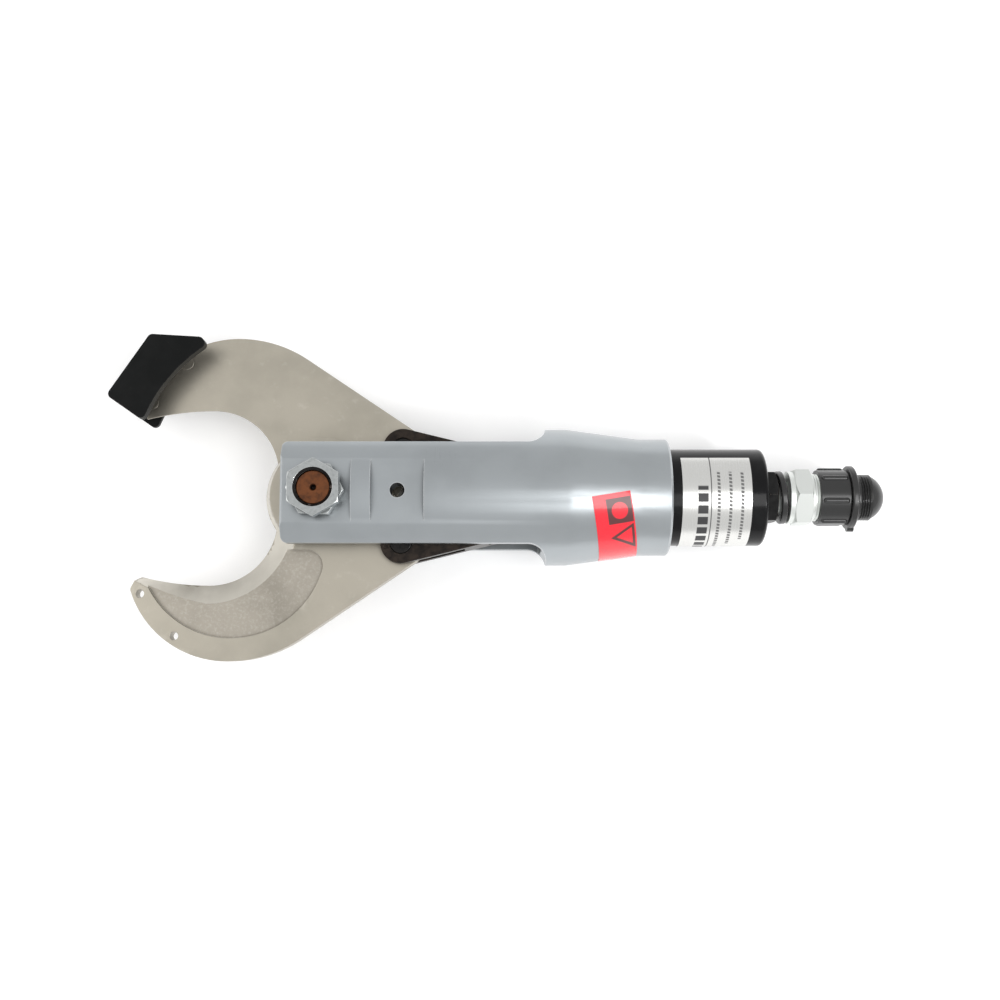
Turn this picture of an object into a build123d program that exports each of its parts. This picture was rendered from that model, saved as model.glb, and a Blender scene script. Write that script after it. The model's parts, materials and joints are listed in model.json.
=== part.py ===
from build123d import *
from math import asin, atan2, cos, degrees, hypot, radians, sin, sqrt
import os

os.makedirs("parts", exist_ok=True)

# A hydraulic cutter head lying flat. X runs along the tool axis, from the jaws towards the
# hose coupling, Y spreads the jaws and Z is the axis of the pivot bolt. The origin is the
# centre of the coupler's nose face. Lengths are in millimetres, angles in degrees.

# ---- driving dimensions: lengths along the axis -------------------------------------------
nose_length = 19.2        # coupler thread, from its face to the hexagon
coupler_hex_length = 9.6
collar_length = 3.7
neck_length = 5.7
adapter_length = 7.8
barrel_exposed = 52.6
pivot_to_rear = 191.4     # pivot bolt to the rear edge of the fork body
pivot_to_front = 19.5
pivot_to_shoulder = 113.4
pivot_to_slot_end = 121.0
pivot_to_bulge_end = 134.7
pivot_to_cone_end = 175.0

# ---- driving dimensions: fork body --------------------------------------------------------
body_radius = 38.0
sleeve_radius = 32.5
fork_half_width = 27.6
slot_gap = 0.8            # links to the cheeks of the fork
slot_corner = 1.5
seat_height = 34.0        # axis to the flats for the nuts and the ears
bolt_seat_length = 38.0   # front edge of the fork to the rear edge of the first flat
ear_seat_start = 29.1     # pivot to the front edge of the second flat
ear_seat_length = 28.5
ear_x = 43.3              # pivot to the ear hole
ear_radius = 4.0
shoulder_cutter = 10.0
fork_corner = 3.0
rim_chamfer = 1.0

# ---- driving dimensions: blades -----------------------------------------------------------
blade_thickness = 11.0
blade_gap = 0.05          # between the two blades
hub_radius = 32.3
eye_radius = 12.5
arm_length = 51.7         # pivot to link pin
arm_angle = 31.2          # of the arm from the tool axis, jaws open
belly_centre = (-50.0, -34.0)
belly_radius = 57.0
back_radius = 70.0
throat_centre = (-62.8, -12.3)
throat_radius = 37.0
lip_radius = 150.0
lip_reach = 37.7          # from the bottom of the throat to the tip, along X
tip_angle = 198.0         # where the tip meets the belly
tip_corner = 3.0
edge_land = 1.0           # thickness left at the cutting edge
bevel_width = 13.5
hub_bevel = 3.5
tip_bevel = 0.35          # share of the tip face that the bevel takes
pocket_centre = (-48.6, -26.9)
pocket_radius = 51.5
pocket_depth = 2.4
pocket_top = -30.0
pocket_corner = 9.0
tip_holes = [(-98.6, -54.2), (-79.3, -77.2)]
tip_hole_radius = 2.25
countersink_radius = 4.1

# ---- driving dimensions: pivot, links, ram ------------------------------------------------
bolt_radius = 9.0
head_radius = 13.5
head_height = 11.0
head_recess = 7.0
socket_flats = 14.0
nut_flats = 27.0
nut_height = 7.3
nut_turn = 28.0           # lower nut against the upper one
nut_chamfer = 30.0        # angle at which the corners of nuts and hexagons are turned off
nut_land = 0.9            # flats of a pivot nut to the circle left on its faces
bolt_sink = 2.5           # top of the lock nut to the end of the bolt
bush_radius = 12.0
spacer_radius = 20.0
link_radius = 11.2
cheek_thickness = 6.5
cheek_gap = 0.2
web_start = 33.0          # link pin to the web, which clears the closed blade
web_length = 13.8
link_pin_radius = 6.0
ram_pin_x = 108.4         # pivot to the ram pins
ram_pin_y = 11.0
ram_pin_radius = 4.0
open_pivot_gap = 3.5      # play of the ram pins in the links
tongue_radius = 8.0
crosshead_radius = 17.5
crosshead_start = 122.8
crosshead_length = 9.2
rod_radius = 10.0
spigot_radius = 6.0

# ---- driving dimensions: cylinder ---------------------------------------------------------
guide_start = 133.0
guide_length = 12.0
guide_radius = 15.0
barrel_start = 155.5
barrel_radius = 27.0
bore_radius = 19.0
rear_wall = 13.0
barrel_fillet = 2.5
piston_length = 14.0
piston_nut_length = 6.0
piston_nut_flats = 18.0
ring_width = 3.0
ring_depth = 2.4
ring_count = 3
piston_margin = 2.0       # piston nut to the bottom of the bore
spring_wire = 1.6
spring_turns = 6
seat_thickness = 2.0
wiper_length = 3.0
set_screw_radius = 3.0
set_screw_x = 184.0

# ---- driving dimensions: coupling and cap -------------------------------------------------
adapter_flats = 27.0
adapter_spigot = 8.0
adapter_spigot_length = 8.0
washer_thickness = 1.2
neck_radius = 9.3
coupler_spigot = 7.0
coupler_spigot_length = 6.0
collar_radius = 14.6
coupler_flats = 29.7
nose_radius = 13.3
passage_radius = 4.0
chamber_radius = 8.0
chamber_depth = 22.0
mouth_radius = 6.0
mouth_depth = 5.0
poppet_dimple = 2.0
valve_wire = 0.6
valve_turns = 4
cap_start = 15.3          # nose face to the open end of the cap
sleeve_length = 16.8
cap_sleeve_radius = 15.4
rib_count = 7
rib_height = 1.3
rib_width = 3.4
rib_length = 14.6
cap_neck_length = 12.5
cap_neck_radius = 12.9
dome_radius = 13.3
dome_length = 8.5
dome_middle = 40.0        # angle of a point part way round the dome
thread_count = 4
thread_pitch = 1.4
thread_depth = 0.8
strap_thickness = 3.6
strap_cap_outer = 17.8
strap_neck_outer = 14.8
strap_tilt = 4.0
strap_inset = 1.2
strap_neck_gap = 1.0      # the ring hangs loose on the coupler's neck
tab_radius = 2.8
gasket_thickness = 0.9

# ---- driving dimensions: guard, plates ----------------------------------------------------
sheet = 3.0               # the guard's back plate and web
front_plate = 5.8
guard_channel = 13.0      # from the blades' shear plane to the guard's front plate
guard_corners = [(-118.8, 54.8), (-95.8, 89.3), (-67.3, 87.6), (-63.6, 83.4), (-98.1, 40.4)]
guard_bow = 4.5           # how far the guard's inner edge bows in
guard_corner = 3.0
guard_nut_flats = 7.0
guard_nut_height = 3.2
plate_thickness = 0.3
nameplate_gap = 5.6       # rear edge of the fork body to the plate
nameplate_length = 37.5
nameplate_angles = (46.0, -104.0)
label_thickness = 0.2
label_centre = 157.2
label_width = 21.0
label_top = -2.0          # tool axis to the label's upper edge
label_turn = 10.0

# ---- clearances ---------------------------------------------------------------------------
running = 0.05
loose = 0.1
side_play = 0.1
head_play = 0.5

# ---- places along the axis ----------------------------------------------------------------
hex_front = -nose_length
collar_front = hex_front - coupler_hex_length
neck_front = collar_front - collar_length
adapter_rear = neck_front - neck_length
barrel_rear = adapter_rear - adapter_length
body_rear = barrel_rear - barrel_exposed
pivot_x = body_rear - pivot_to_rear
front_x = pivot_x - pivot_to_front
shoulder_x = pivot_x + pivot_to_shoulder
slot_end = pivot_x + pivot_to_slot_end
bulge_end = pivot_x + pivot_to_bulge_end
cone_end = pivot_x + pivot_to_cone_end
guide_front = pivot_x + guide_start
guide_rear = guide_front + guide_length
barrel_front = pivot_x + barrel_start
bore_end = barrel_rear - rear_wall
piston_rear = bore_end - piston_margin - piston_nut_length
piston_front = piston_rear - piston_length
crosshead_front = pivot_x + crosshead_start
crosshead_rear = crosshead_front + crosshead_length
cap_front = -cap_start
groove_front = cap_front + sleeve_length
cap_shoulder = groove_front + cap_neck_length
margin = 1.0              # how far cutters run past the faces that they open
beyond = 8 * body_radius  # a cutter this large clears the whole jaw
hub_start = 120.0         # an angle well inside the hub's free side
blade_top = blade_thickness
blade_bottom = blade_gap / 2
cheek_top = blade_top + cheek_gap
stack_height = cheek_top + cheek_thickness
slot_half = stack_height + slot_gap
link_bottom = -cheek_gap - cheek_thickness
cavity_radius = hypot(ram_pin_y + tongue_radius, blade_top) + 3 * loose
eye = (arm_length * cos(radians(arm_angle)), -arm_length * sin(radians(arm_angle)))


def on_circle(centre, radius, angle):
    """Point of a circle at an angle in degrees."""
    return (centre[0] + radius * cos(radians(angle)), centre[1] + radius * sin(radians(angle)))


def crossing(centre, radius, hub):
    """Point where a circle crosses the circle of radius hub about the pivot, on the -Y side."""
    distance = hypot(*centre)
    along = (distance**2 + hub**2 - radius**2) / (2 * distance)
    aside = sqrt(hub**2 - along**2)
    ux, uy = centre[0] / distance, centre[1] / distance
    return (ux * along - uy * aside, uy * along + ux * aside)


def angle_about(centre, point):
    """Angle in degrees from a centre to a point."""
    return degrees(atan2(point[1] - centre[1], point[0] - centre[0]))


def turned(*corners):
    """Solid of revolution about the tool axis from the corners of its half section."""
    with BuildPart() as piece:
        with BuildSketch(Plane.XY):
            with BuildLine():
                Polyline(*corners, close=True)
            make_face()
        revolve(axis=Axis.X)
    return piece.part


def tube(x_start, x_end, outer, inner=0.0):
    """Round tube, or a solid rod, along the tool axis."""
    return turned((x_start, inner), (x_start, outer), (x_end, outer), (x_end, inner))


def hexagon_bar(x_start, length, flats, turn=0.0):
    """Hexagonal bar along the tool axis, with its corners turned off."""
    corner_radius = flats / sqrt(3)
    bevel = (corner_radius - flats / 2 + loose) * sin(radians(nut_chamfer))
    with BuildPart() as piece:
        with BuildSketch(Plane.YZ.offset(x_start)):
            RegularPolygon(corner_radius, 6, rotation=turn)
        extrude(amount=length)
        with BuildSketch(Plane.XY):
            with BuildLine():
                Polyline(
                    (x_start, 0),
                    (x_start, flats / 2),
                    (x_start + bevel, corner_radius),
                    (x_start + length - bevel, corner_radius),
                    (x_start + length, flats / 2),
                    (x_start + length, 0),
                    close=True,
                )
            make_face()
        revolve(axis=Axis.X, mode=Mode.INTERSECT)
    return piece.part


def pivot_nut(z_start, turn):
    """Thin hexagon nut on the pivot bolt, chamfered above and below."""
    corner_radius = nut_flats / sqrt(3)
    face_radius = nut_flats / 2 + nut_land
    bevel = (corner_radius - face_radius) * sin(radians(nut_chamfer))
    nut_plane = Plane((pivot_x, 0, z_start))
    side_plane = Plane((pivot_x, 0, z_start), x_dir=(1, 0, 0), z_dir=(0, -1, 0))
    with BuildPart() as piece:
        with BuildSketch(nut_plane):
            RegularPolygon(corner_radius, 6, rotation=turn)
            Circle(bolt_radius + running, mode=Mode.SUBTRACT)
        extrude(amount=nut_height)
        with BuildSketch(side_plane):
            with BuildLine():
                Polyline(
                    (0, 0),
                    (face_radius, 0),
                    (corner_radius, bevel),
                    (corner_radius, nut_height - bevel),
                    (face_radius, nut_height),
                    (0, nut_height),
                    close=True,
                )
            make_face()
        revolve(axis=Axis((pivot_x, 0, 0), (0, 0, 1)), mode=Mode.INTERSECT)
    return piece.part


def opened_region(height, hub, throat, lip_end):
    """Face on the jaw's open side of a cutting line, bounded by hub, throat and lip arcs."""
    lip_centre = (throat_centre[0], throat_centre[1] - throat + lip_radius)
    meeting = crossing(throat_centre, throat, hub)
    hub_end = angle_about((0, 0), meeting) % 360
    throat_start = angle_about(throat_centre, meeting)
    throat_bottom = (throat_centre[0], throat_centre[1] - throat)
    chord = hypot(lip_end[0] - throat_bottom[0], lip_end[1] - throat_bottom[1])
    bow = lip_radius - sqrt(lip_radius**2 - (chord / 2) ** 2)
    middle = ((lip_end[0] + throat_bottom[0]) / 2, (lip_end[1] + throat_bottom[1]) / 2 - bow)
    far_x = belly_centre[0] - belly_radius - bevel_width
    with BuildSketch(Plane((pivot_x, 0, height))) as region:
        with BuildLine():
            CenterArc((0, 0), hub, hub_start, hub_end - hub_start)
            CenterArc(throat_centre, throat, throat_start, -90 - throat_start)
            ThreePointArc(throat_bottom, middle, lip_end)
            Polyline(lip_end, (far_x, 0), on_circle((0, 0), hub, hub_start))
        make_face()
    return region.sketch


# ---- fork body ----------------------------------------------------------------------------
with BuildPart() as fork_body:
    add(
        turned(
            (front_x, 0),
            (front_x, body_radius),
            (bulge_end, body_radius),
            (cone_end, sleeve_radius),
            (body_rear - rim_chamfer, sleeve_radius),
            (body_rear, sleeve_radius - rim_chamfer),
            (body_rear, 0),
        )
    )
    # the two sides are milled flat as far as the shoulder, where the cutter leaves its radius
    reach = body_radius + margin
    with BuildSketch(Plane.XY) as sides:
        with BuildLine():
            Line((front_x - margin, fork_half_width), (shoulder_x, fork_half_width))
            CenterArc(
                (shoulder_x, fork_half_width + shoulder_cutter), shoulder_cutter, 270, 90
            )
            Polyline(
                (shoulder_x + shoulder_cutter, fork_half_width + shoulder_cutter),
                (shoulder_x + shoulder_cutter, reach),
                (front_x - margin, reach),
                (front_x - margin, fork_half_width),
            )
        make_face()
        mirror(about=Plane.XZ)
    extrude(amount=reach, both=True, mode=Mode.SUBTRACT)
    # the slot for the blades and links
    with BuildSketch(Plane.XZ) as slot:
        with Locations(((front_x - margin + slot_end) / 2, 0)):
            Rectangle(slot_end - front_x + margin, 2 * slot_half)
        fillet(slot.vertices().group_by(Axis.X)[-1], slot_corner)
    extrude(amount=reach, both=True, mode=Mode.SUBTRACT)
    # flats for the pivot nuts and for the ear holes, above and below
    for side in (1, -1):
        with BuildSketch(Plane.XY.offset(side * seat_height)):
            with Locations((front_x + (bolt_seat_length - margin) / 2, 0)):
                Rectangle(bolt_seat_length + margin, 2 * body_radius)
            with Locations((pivot_x + ear_seat_start + ear_seat_length / 2, 0)):
                Rectangle(ear_seat_length, 2 * body_radius)
        extrude(amount=side * (body_radius - seat_height + margin), mode=Mode.SUBTRACT)
    # corners and rims at the front
    fillet(fork_body.edges().filter_by(Axis.Z).group_by(Axis.X)[0], fork_corner)
    front_lines = fork_body.edges().filter_by(Axis.Y).group_by(Axis.X)[0].group_by(Axis.Z)
    chamfer(front_lines[0] + front_lines[-1], rim_chamfer)
    # inner bores: crosshead, rod guide, spring and barrel
    add(
        turned(
            (slot_end - slot_corner - margin, 0),
            (slot_end - slot_corner - margin, cavity_radius),
            (guide_front, cavity_radius),
            (guide_front, guide_radius),
            (guide_rear, guide_radius),
            (guide_rear, bore_radius),
            (barrel_front, bore_radius),
            (barrel_front, barrel_radius),
            (body_rear + margin, barrel_radius),
            (body_rear + margin, 0),
        ),
        mode=Mode.SUBTRACT,
    )
    # pivot bolt, its recessed head, ear holes and the barrel's set screw
    with Locations((pivot_x, 0, seat_height)):
        Hole(bolt_radius + loose, depth=2 * seat_height)
    with Locations(Location((pivot_x, 0, -seat_height), (180, 0, 0))):
        Hole(head_radius + head_play, depth=head_recess)
    with Locations((pivot_x + ear_x, 0, seat_height)):
        Hole(ear_radius, depth=2 * seat_height)
    with Locations(Location((pivot_x + set_screw_x, 0, -sleeve_radius), (180, 0, 0))):
        Hole(set_screw_radius, depth=sleeve_radius - barrel_radius)

# ---- blades -------------------------------------------------------------------------------
back_centre = (belly_centre[0], belly_centre[1] - belly_radius + back_radius)
back_span = hypot(eye[0] - back_centre[0], eye[1] - back_centre[1])
back_lean = degrees(asin((back_radius - eye_radius) / back_span))
back_slope = angle_about(back_centre, eye) + back_lean
hub_slope = -arm_angle - degrees(asin((hub_radius - eye_radius) / arm_length))
throat_meeting = crossing(throat_centre, throat_radius, hub_radius)
hub_end_angle = angle_about((0, 0), throat_meeting) % 360
throat_start_angle = angle_about(throat_centre, throat_meeting)
lip_centre = (throat_centre[0], throat_centre[1] - throat_radius + lip_radius)
lip_sweep = degrees(asin(lip_reach / lip_radius))
tip_inner = on_circle(lip_centre, lip_radius, 270 - lip_sweep)
tip_outer = on_circle(belly_centre, belly_radius, tip_angle)
tip_bevel_end = (
    tip_inner[0] + tip_bevel * (tip_outer[0] - tip_inner[0]),
    tip_inner[1] + tip_bevel * (tip_outer[1] - tip_inner[1]),
)

with BuildPart() as lower_blade:
    with BuildSketch(Plane((pivot_x, 0, blade_bottom))) as blade_outline:
        with BuildLine():
            CenterArc(belly_centre, belly_radius, tip_angle, 270 - tip_angle)
            CenterArc(back_centre, back_radius, 270, back_slope)
            Line(
                on_circle(back_centre, back_radius, 270 + back_slope),
                on_circle(eye, eye_radius, 270 + back_slope),
            )
            CenterArc(eye, eye_radius, 270 + back_slope, 180 + hub_slope - back_slope)
            Line(
                on_circle(eye, eye_radius, 90 + hub_slope),
                on_circle((0, 0), hub_radius, 90 + hub_slope),
            )
            CenterArc((0, 0), hub_radius, 90 + hub_slope, hub_end_angle - 90 - hub_slope)
            CenterArc(throat_centre, throat_radius, throat_start_angle, -90 - throat_start_angle)
            CenterArc(lip_centre, lip_radius, 270, -lip_sweep)
            Line(tip_inner, tip_outer)
        make_face()
        fillet(blade_outline.vertices().group_by(Axis.X)[0], tip_corner)
    extrude(amount=blade_top - blade_bottom)
    # the bevel rises from a thin land at the cutting edge to the front face
    bevel_foot = opened_region(edge_land, hub_radius, throat_radius, tip_inner)
    bevel_head = opened_region(
        blade_top, hub_radius - hub_bevel, throat_radius + bevel_width, tip_bevel_end
    )
    loft([bevel_foot, bevel_head], ruled=True, mode=Mode.SUBTRACT)
    # the milled pocket between the bevel and the rim
    with BuildSketch(Plane((pivot_x, 0, blade_top - pocket_depth))) as pocket:
        with Locations(pocket_centre):
            Circle(pocket_radius)
        with Locations(throat_centre):
            Circle(throat_radius + bevel_width / 2, mode=Mode.SUBTRACT)
        with Locations((0, pocket_top + beyond / 2)):
            Rectangle(beyond, beyond, mode=Mode.SUBTRACT)
        fillet(pocket.vertices().sort_by(Axis.X)[-1], pocket_corner)
    extrude(amount=pocket_depth + margin, mode=Mode.SUBTRACT)
    # bores for the bush, the link pin and the tip screws
    with Locations((pivot_x, 0, blade_top)):
        Hole(bush_radius + running, depth=blade_thickness)
    with Locations((pivot_x + eye[0], eye[1], blade_top)):
        Hole(link_pin_radius, depth=blade_thickness)
    for hole_x, hole_y in tip_holes:
        with Locations(Location((pivot_x + hole_x, hole_y, blade_bottom), (180, 0, 0))):
            CounterSinkHole(tip_hole_radius, countersink_radius, depth=blade_thickness)

with BuildPart() as upper_blade:
    add(lower_blade.part, rotation=(180, 0, 0))

# ---- pivot --------------------------------------------------------------------------------
head_seat = -seat_height + head_recess
with BuildPart() as pivot_bolt:
    with BuildSketch(Plane((pivot_x, 0, head_seat))):
        Circle(head_radius)
    extrude(amount=-head_height)
    chamfer(pivot_bolt.edges().group_by(Axis.Z)[0], rim_chamfer)
    with BuildSketch(Plane((pivot_x, 0, head_seat - head_height))):
        RegularPolygon(socket_flats / 2, 6, major_radius=False)
    extrude(amount=head_height / 2, mode=Mode.SUBTRACT)
    with BuildSketch(Plane((pivot_x, 0, head_seat))):
        Circle(bolt_radius)
    extrude(amount=seat_height + 2 * nut_height - bolt_sink - head_seat)
    chamfer(pivot_bolt.edges().group_by(Axis.Z)[-1], rim_chamfer / 2)
    with Locations((pivot_x, 0, seat_height + 2 * nut_height - bolt_sink)):
        CounterSinkHole(rim_chamfer, 2 * rim_chamfer, depth=4 * rim_chamfer)

with BuildPart() as pivot_bush:
    with BuildSketch(Plane((pivot_x, 0, -slot_half))):
        Circle(bush_radius)
        Circle(bolt_radius + loose, mode=Mode.SUBTRACT)
    extrude(amount=2 * slot_half)

with BuildPart() as thrust_spacers:
    for side in (1, -1):
        with BuildSketch(Plane((pivot_x, 0, side * (blade_top + side_play)))):
            Circle(spacer_radius)
            Circle(bush_radius + running, mode=Mode.SUBTRACT)
        extrude(amount=side * (slot_half - blade_top - side_play))

with BuildPart() as pivot_jam_nut:
    add(pivot_nut(seat_height, 90 + nut_turn))

with BuildPart() as pivot_lock_nut:
    add(pivot_nut(seat_height + nut_height, 90))

# ---- links --------------------------------------------------------------------------------
link_reach = (ram_pin_x - eye[0], -ram_pin_y - eye[1])
link_length = hypot(*link_reach)
link_frame = Plane(
    (pivot_x + eye[0], eye[1], link_bottom), x_dir=(link_reach[0], link_reach[1], 0)
)
link_height = stack_height - link_bottom
slot_bottom = cheek_thickness
slot_top = link_height - cheek_thickness

with BuildPart() as lower_link:
    with BuildSketch(link_frame):
        with Locations((link_length / 2, 0)):
            SlotCenterToCenter(link_length, 2 * link_radius)
    extrude(amount=link_height)
    # both ends are forked, and the web stands between them
    with BuildSketch(link_frame.offset(slot_bottom)):
        with Locations(((web_start - link_radius - margin) / 2, 0)):
            Rectangle(web_start + link_radius + margin, 4 * link_radius)
        far_start = web_start + web_length
        far_end = link_length + link_radius + margin
        with Locations(((far_start + far_end) / 2, 0)):
            Rectangle(far_end - far_start, 4 * link_radius)
    extrude(amount=slot_top - slot_bottom, mode=Mode.SUBTRACT)
    with Locations(link_frame.offset(link_height)):
        Hole(link_pin_radius + running, depth=link_height)
    with Locations(link_frame.offset(link_height) * Location((link_length, 0, 0))):
        Hole(ram_pin_radius + open_pivot_gap, depth=link_height)
    chamfer(lower_link.edges().group_by(Axis.Z)[-1].filter_by(GeomType.LINE), rim_chamfer / 2)

with BuildPart() as upper_link:
    add(lower_link.part, rotation=(180, 0, 0))

with BuildPart() as lower_link_pin:
    with BuildSketch(Plane((pivot_x + eye[0], eye[1], link_bottom))):
        Circle(link_pin_radius)
    extrude(amount=link_height)
    chamfer(lower_link_pin.edges(), rim_chamfer / 2)

with BuildPart() as upper_link_pin:
    add(lower_link_pin.part, rotation=(180, 0, 0))

# ---- ram: crosshead, pins, rod and piston -------------------------------------------------
tongue_start = pivot_x + ram_pin_x
tongue_root = crosshead_front + crosshead_length / 2
with BuildPart() as crosshead:
    add(tube(crosshead_front, crosshead_rear, crosshead_radius))
    for side in (1, -1):
        with BuildSketch(Plane.XY.offset(-side * side_play)):
            with Locations((tongue_start, side * ram_pin_y)):
                Circle(tongue_radius)
            with Locations(((tongue_start + tongue_root) / 2, side * ram_pin_y)):
                Rectangle(tongue_root - tongue_start, 2 * tongue_radius)
        extrude(amount=-side * (blade_top - 2 * side_play))
    with Locations(*[(tongue_start, side * ram_pin_y, blade_top) for side in (1, -1)]):
        Hole(ram_pin_radius, depth=2 * blade_top)
    with Locations(Plane.YZ.offset(crosshead_rear)):
        Hole(rod_radius, depth=crosshead_length - rim_chamfer)

with BuildPart() as ram_pins:
    for side in (1, -1):
        with BuildSketch(Plane((tongue_start, side * ram_pin_y, -side * stack_height))):
            Circle(ram_pin_radius)
        extrude(amount=side * link_height)

rod_front = crosshead_front + rim_chamfer
with BuildPart() as ram_rod:
    add(tube(rod_front, piston_front, rod_radius))
    add(tube(piston_front, piston_rear + piston_nut_length, spigot_radius))

groove_floor = bore_radius - ring_depth
groove_step = ring_width + rim_chamfer
with BuildPart() as piston:
    add(tube(piston_front, piston_rear, bore_radius - 2 * running, spigot_radius))
    for index in range(ring_count):
        groove_start = piston_front + rim_chamfer + index * groove_step
        add(
            tube(groove_start, groove_start + ring_width, bore_radius, groove_floor),
            mode=Mode.SUBTRACT,
        )


def piston_ring(index):
    """Ring that fills one of the piston's grooves."""
    ring_front = piston_front + rim_chamfer + index * groove_step
    return tube(ring_front, ring_front + ring_width, bore_radius - running, groove_floor)


with BuildPart() as wear_ring:
    add(piston_ring(0))

with BuildPart() as backup_ring:
    add(piston_ring(1))

with BuildPart() as piston_seal:
    add(piston_ring(2))

with BuildPart() as piston_nut:
    add(hexagon_bar(piston_rear, piston_nut_length, piston_nut_flats))
    add(tube(piston_rear, piston_rear + piston_nut_length, spigot_radius), mode=Mode.SUBTRACT)

# ---- rod guide, spring and cylinder -------------------------------------------------------
with BuildPart() as rod_guide:
    add(tube(guide_front + wiper_length, guide_rear, guide_radius, rod_radius + running))

with BuildPart() as rod_wiper:
    add(tube(guide_front, guide_front + wiper_length, guide_radius, rod_radius + running))

with BuildPart() as spring_seat:
    add(tube(guide_rear, guide_rear + seat_thickness, bore_radius, rod_radius + loose))

spring_front = guide_rear + seat_thickness + spring_wire
spring_length = piston_front - spring_wire - spring_front
spring_radius = (rod_radius + bore_radius) / 2
with BuildPart() as return_spring:
    with BuildLine():
        coil = Helix(
            pitch=spring_length / spring_turns,
            height=spring_length,
            radius=spring_radius,
            center=(spring_front, 0, 0),
            direction=(1, 0, 0),
        )
    with BuildSketch(Plane(coil @ 0, z_dir=coil % 0)):
        Circle(spring_wire)
    sweep(is_frenet=True)

with BuildPart() as cylinder_barrel:
    add(tube(barrel_front, barrel_rear, barrel_radius))
    fillet(cylinder_barrel.edges().group_by(Axis.X)[-1], barrel_fillet)
    add(tube(barrel_front, bore_end, bore_radius), mode=Mode.SUBTRACT)
    add(tube(bore_end, barrel_rear, passage_radius), mode=Mode.SUBTRACT)
    add(
        tube(barrel_rear - adapter_spigot_length, barrel_rear, adapter_spigot),
        mode=Mode.SUBTRACT,
    )

with BuildPart() as barrel_set_screw:
    with BuildSketch(Plane((pivot_x + set_screw_x, 0, -barrel_radius - running))):
        Circle(set_screw_radius - running)
    extrude(amount=-(sleeve_radius - barrel_radius - rim_chamfer))
    with BuildSketch(Plane((pivot_x + set_screw_x, 0, -sleeve_radius + rim_chamfer))):
        RegularPolygon(set_screw_radius / 2, 6)
    extrude(amount=set_screw_radius / 2, mode=Mode.SUBTRACT)

# ---- coupling -----------------------------------------------------------------------------
washer_rear = barrel_rear + washer_thickness
spigot_front = barrel_rear - adapter_spigot_length
with BuildPart() as port_adapter:
    add(hexagon_bar(washer_rear, adapter_rear - washer_rear, adapter_flats, turn=nut_chamfer))
    add(tube(spigot_front, washer_rear, adapter_spigot))
    add(tube(spigot_front, adapter_rear, passage_radius), mode=Mode.SUBTRACT)
    add(
        tube(adapter_rear - coupler_spigot_length, adapter_rear, coupler_spigot),
        mode=Mode.SUBTRACT,
    )

with BuildPart() as adapter_washer:
    add(tube(barrel_rear, washer_rear, adapter_flats / 2 - rim_chamfer, adapter_spigot))

chamber_front = -chamber_depth
with BuildPart() as coupler_body:
    add(tube(adapter_rear - coupler_spigot_length, adapter_rear, coupler_spigot))
    add(
        turned(
            (adapter_rear, 0),
            (adapter_rear, neck_radius),
            (neck_front, neck_radius),
            (neck_front + rim_chamfer, collar_radius),
            (collar_front, collar_radius),
            (collar_front, 0),
        )
    )
    add(hexagon_bar(collar_front, coupler_hex_length, coupler_flats, turn=nut_chamfer))
    add(
        turned(
            (hex_front, 0),
            (hex_front, nose_radius),
            (-rim_chamfer, nose_radius),
            (0, nose_radius - rim_chamfer),
            (0, 0),
        )
    )
    add(
        turned(
            (adapter_rear - coupler_spigot_length - margin, 0),
            (adapter_rear - coupler_spigot_length - margin, passage_radius),
            (chamber_front, passage_radius),
            (chamber_front, chamber_radius),
            (-mouth_depth, chamber_radius),
            (-mouth_depth, mouth_radius),
            (margin, mouth_radius),
            (margin, 0),
        ),
        mode=Mode.SUBTRACT,
    )

poppet_front = -mouth_depth - mouth_radius
with BuildPart() as valve_poppet:
    add(
        turned(
            (poppet_front, 0),
            (poppet_front, chamber_radius - running),
            (-mouth_depth, chamber_radius - running),
            (-mouth_depth, mouth_radius - loose),
            (-rim_chamfer, mouth_radius - loose),
            (-rim_chamfer, 0),
        )
    )
    with Locations(Plane.YZ.offset(-rim_chamfer)):
        Hole(poppet_dimple, depth=rim_chamfer)

valve_spring_front = chamber_front + valve_wire
valve_spring_length = poppet_front - valve_wire - valve_spring_front
with BuildPart() as valve_spring:
    with BuildLine():
        valve_coil = Helix(
            pitch=valve_spring_length / valve_turns,
            height=valve_spring_length,
            radius=chamber_radius - 2 * valve_wire,
            center=(valve_spring_front, 0, 0),
            direction=(1, 0, 0),
        )
    with BuildSketch(Plane(valve_coil @ 0, z_dir=valve_coil % 0)):
        Circle(valve_wire)
    sweep(is_frenet=True)

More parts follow.
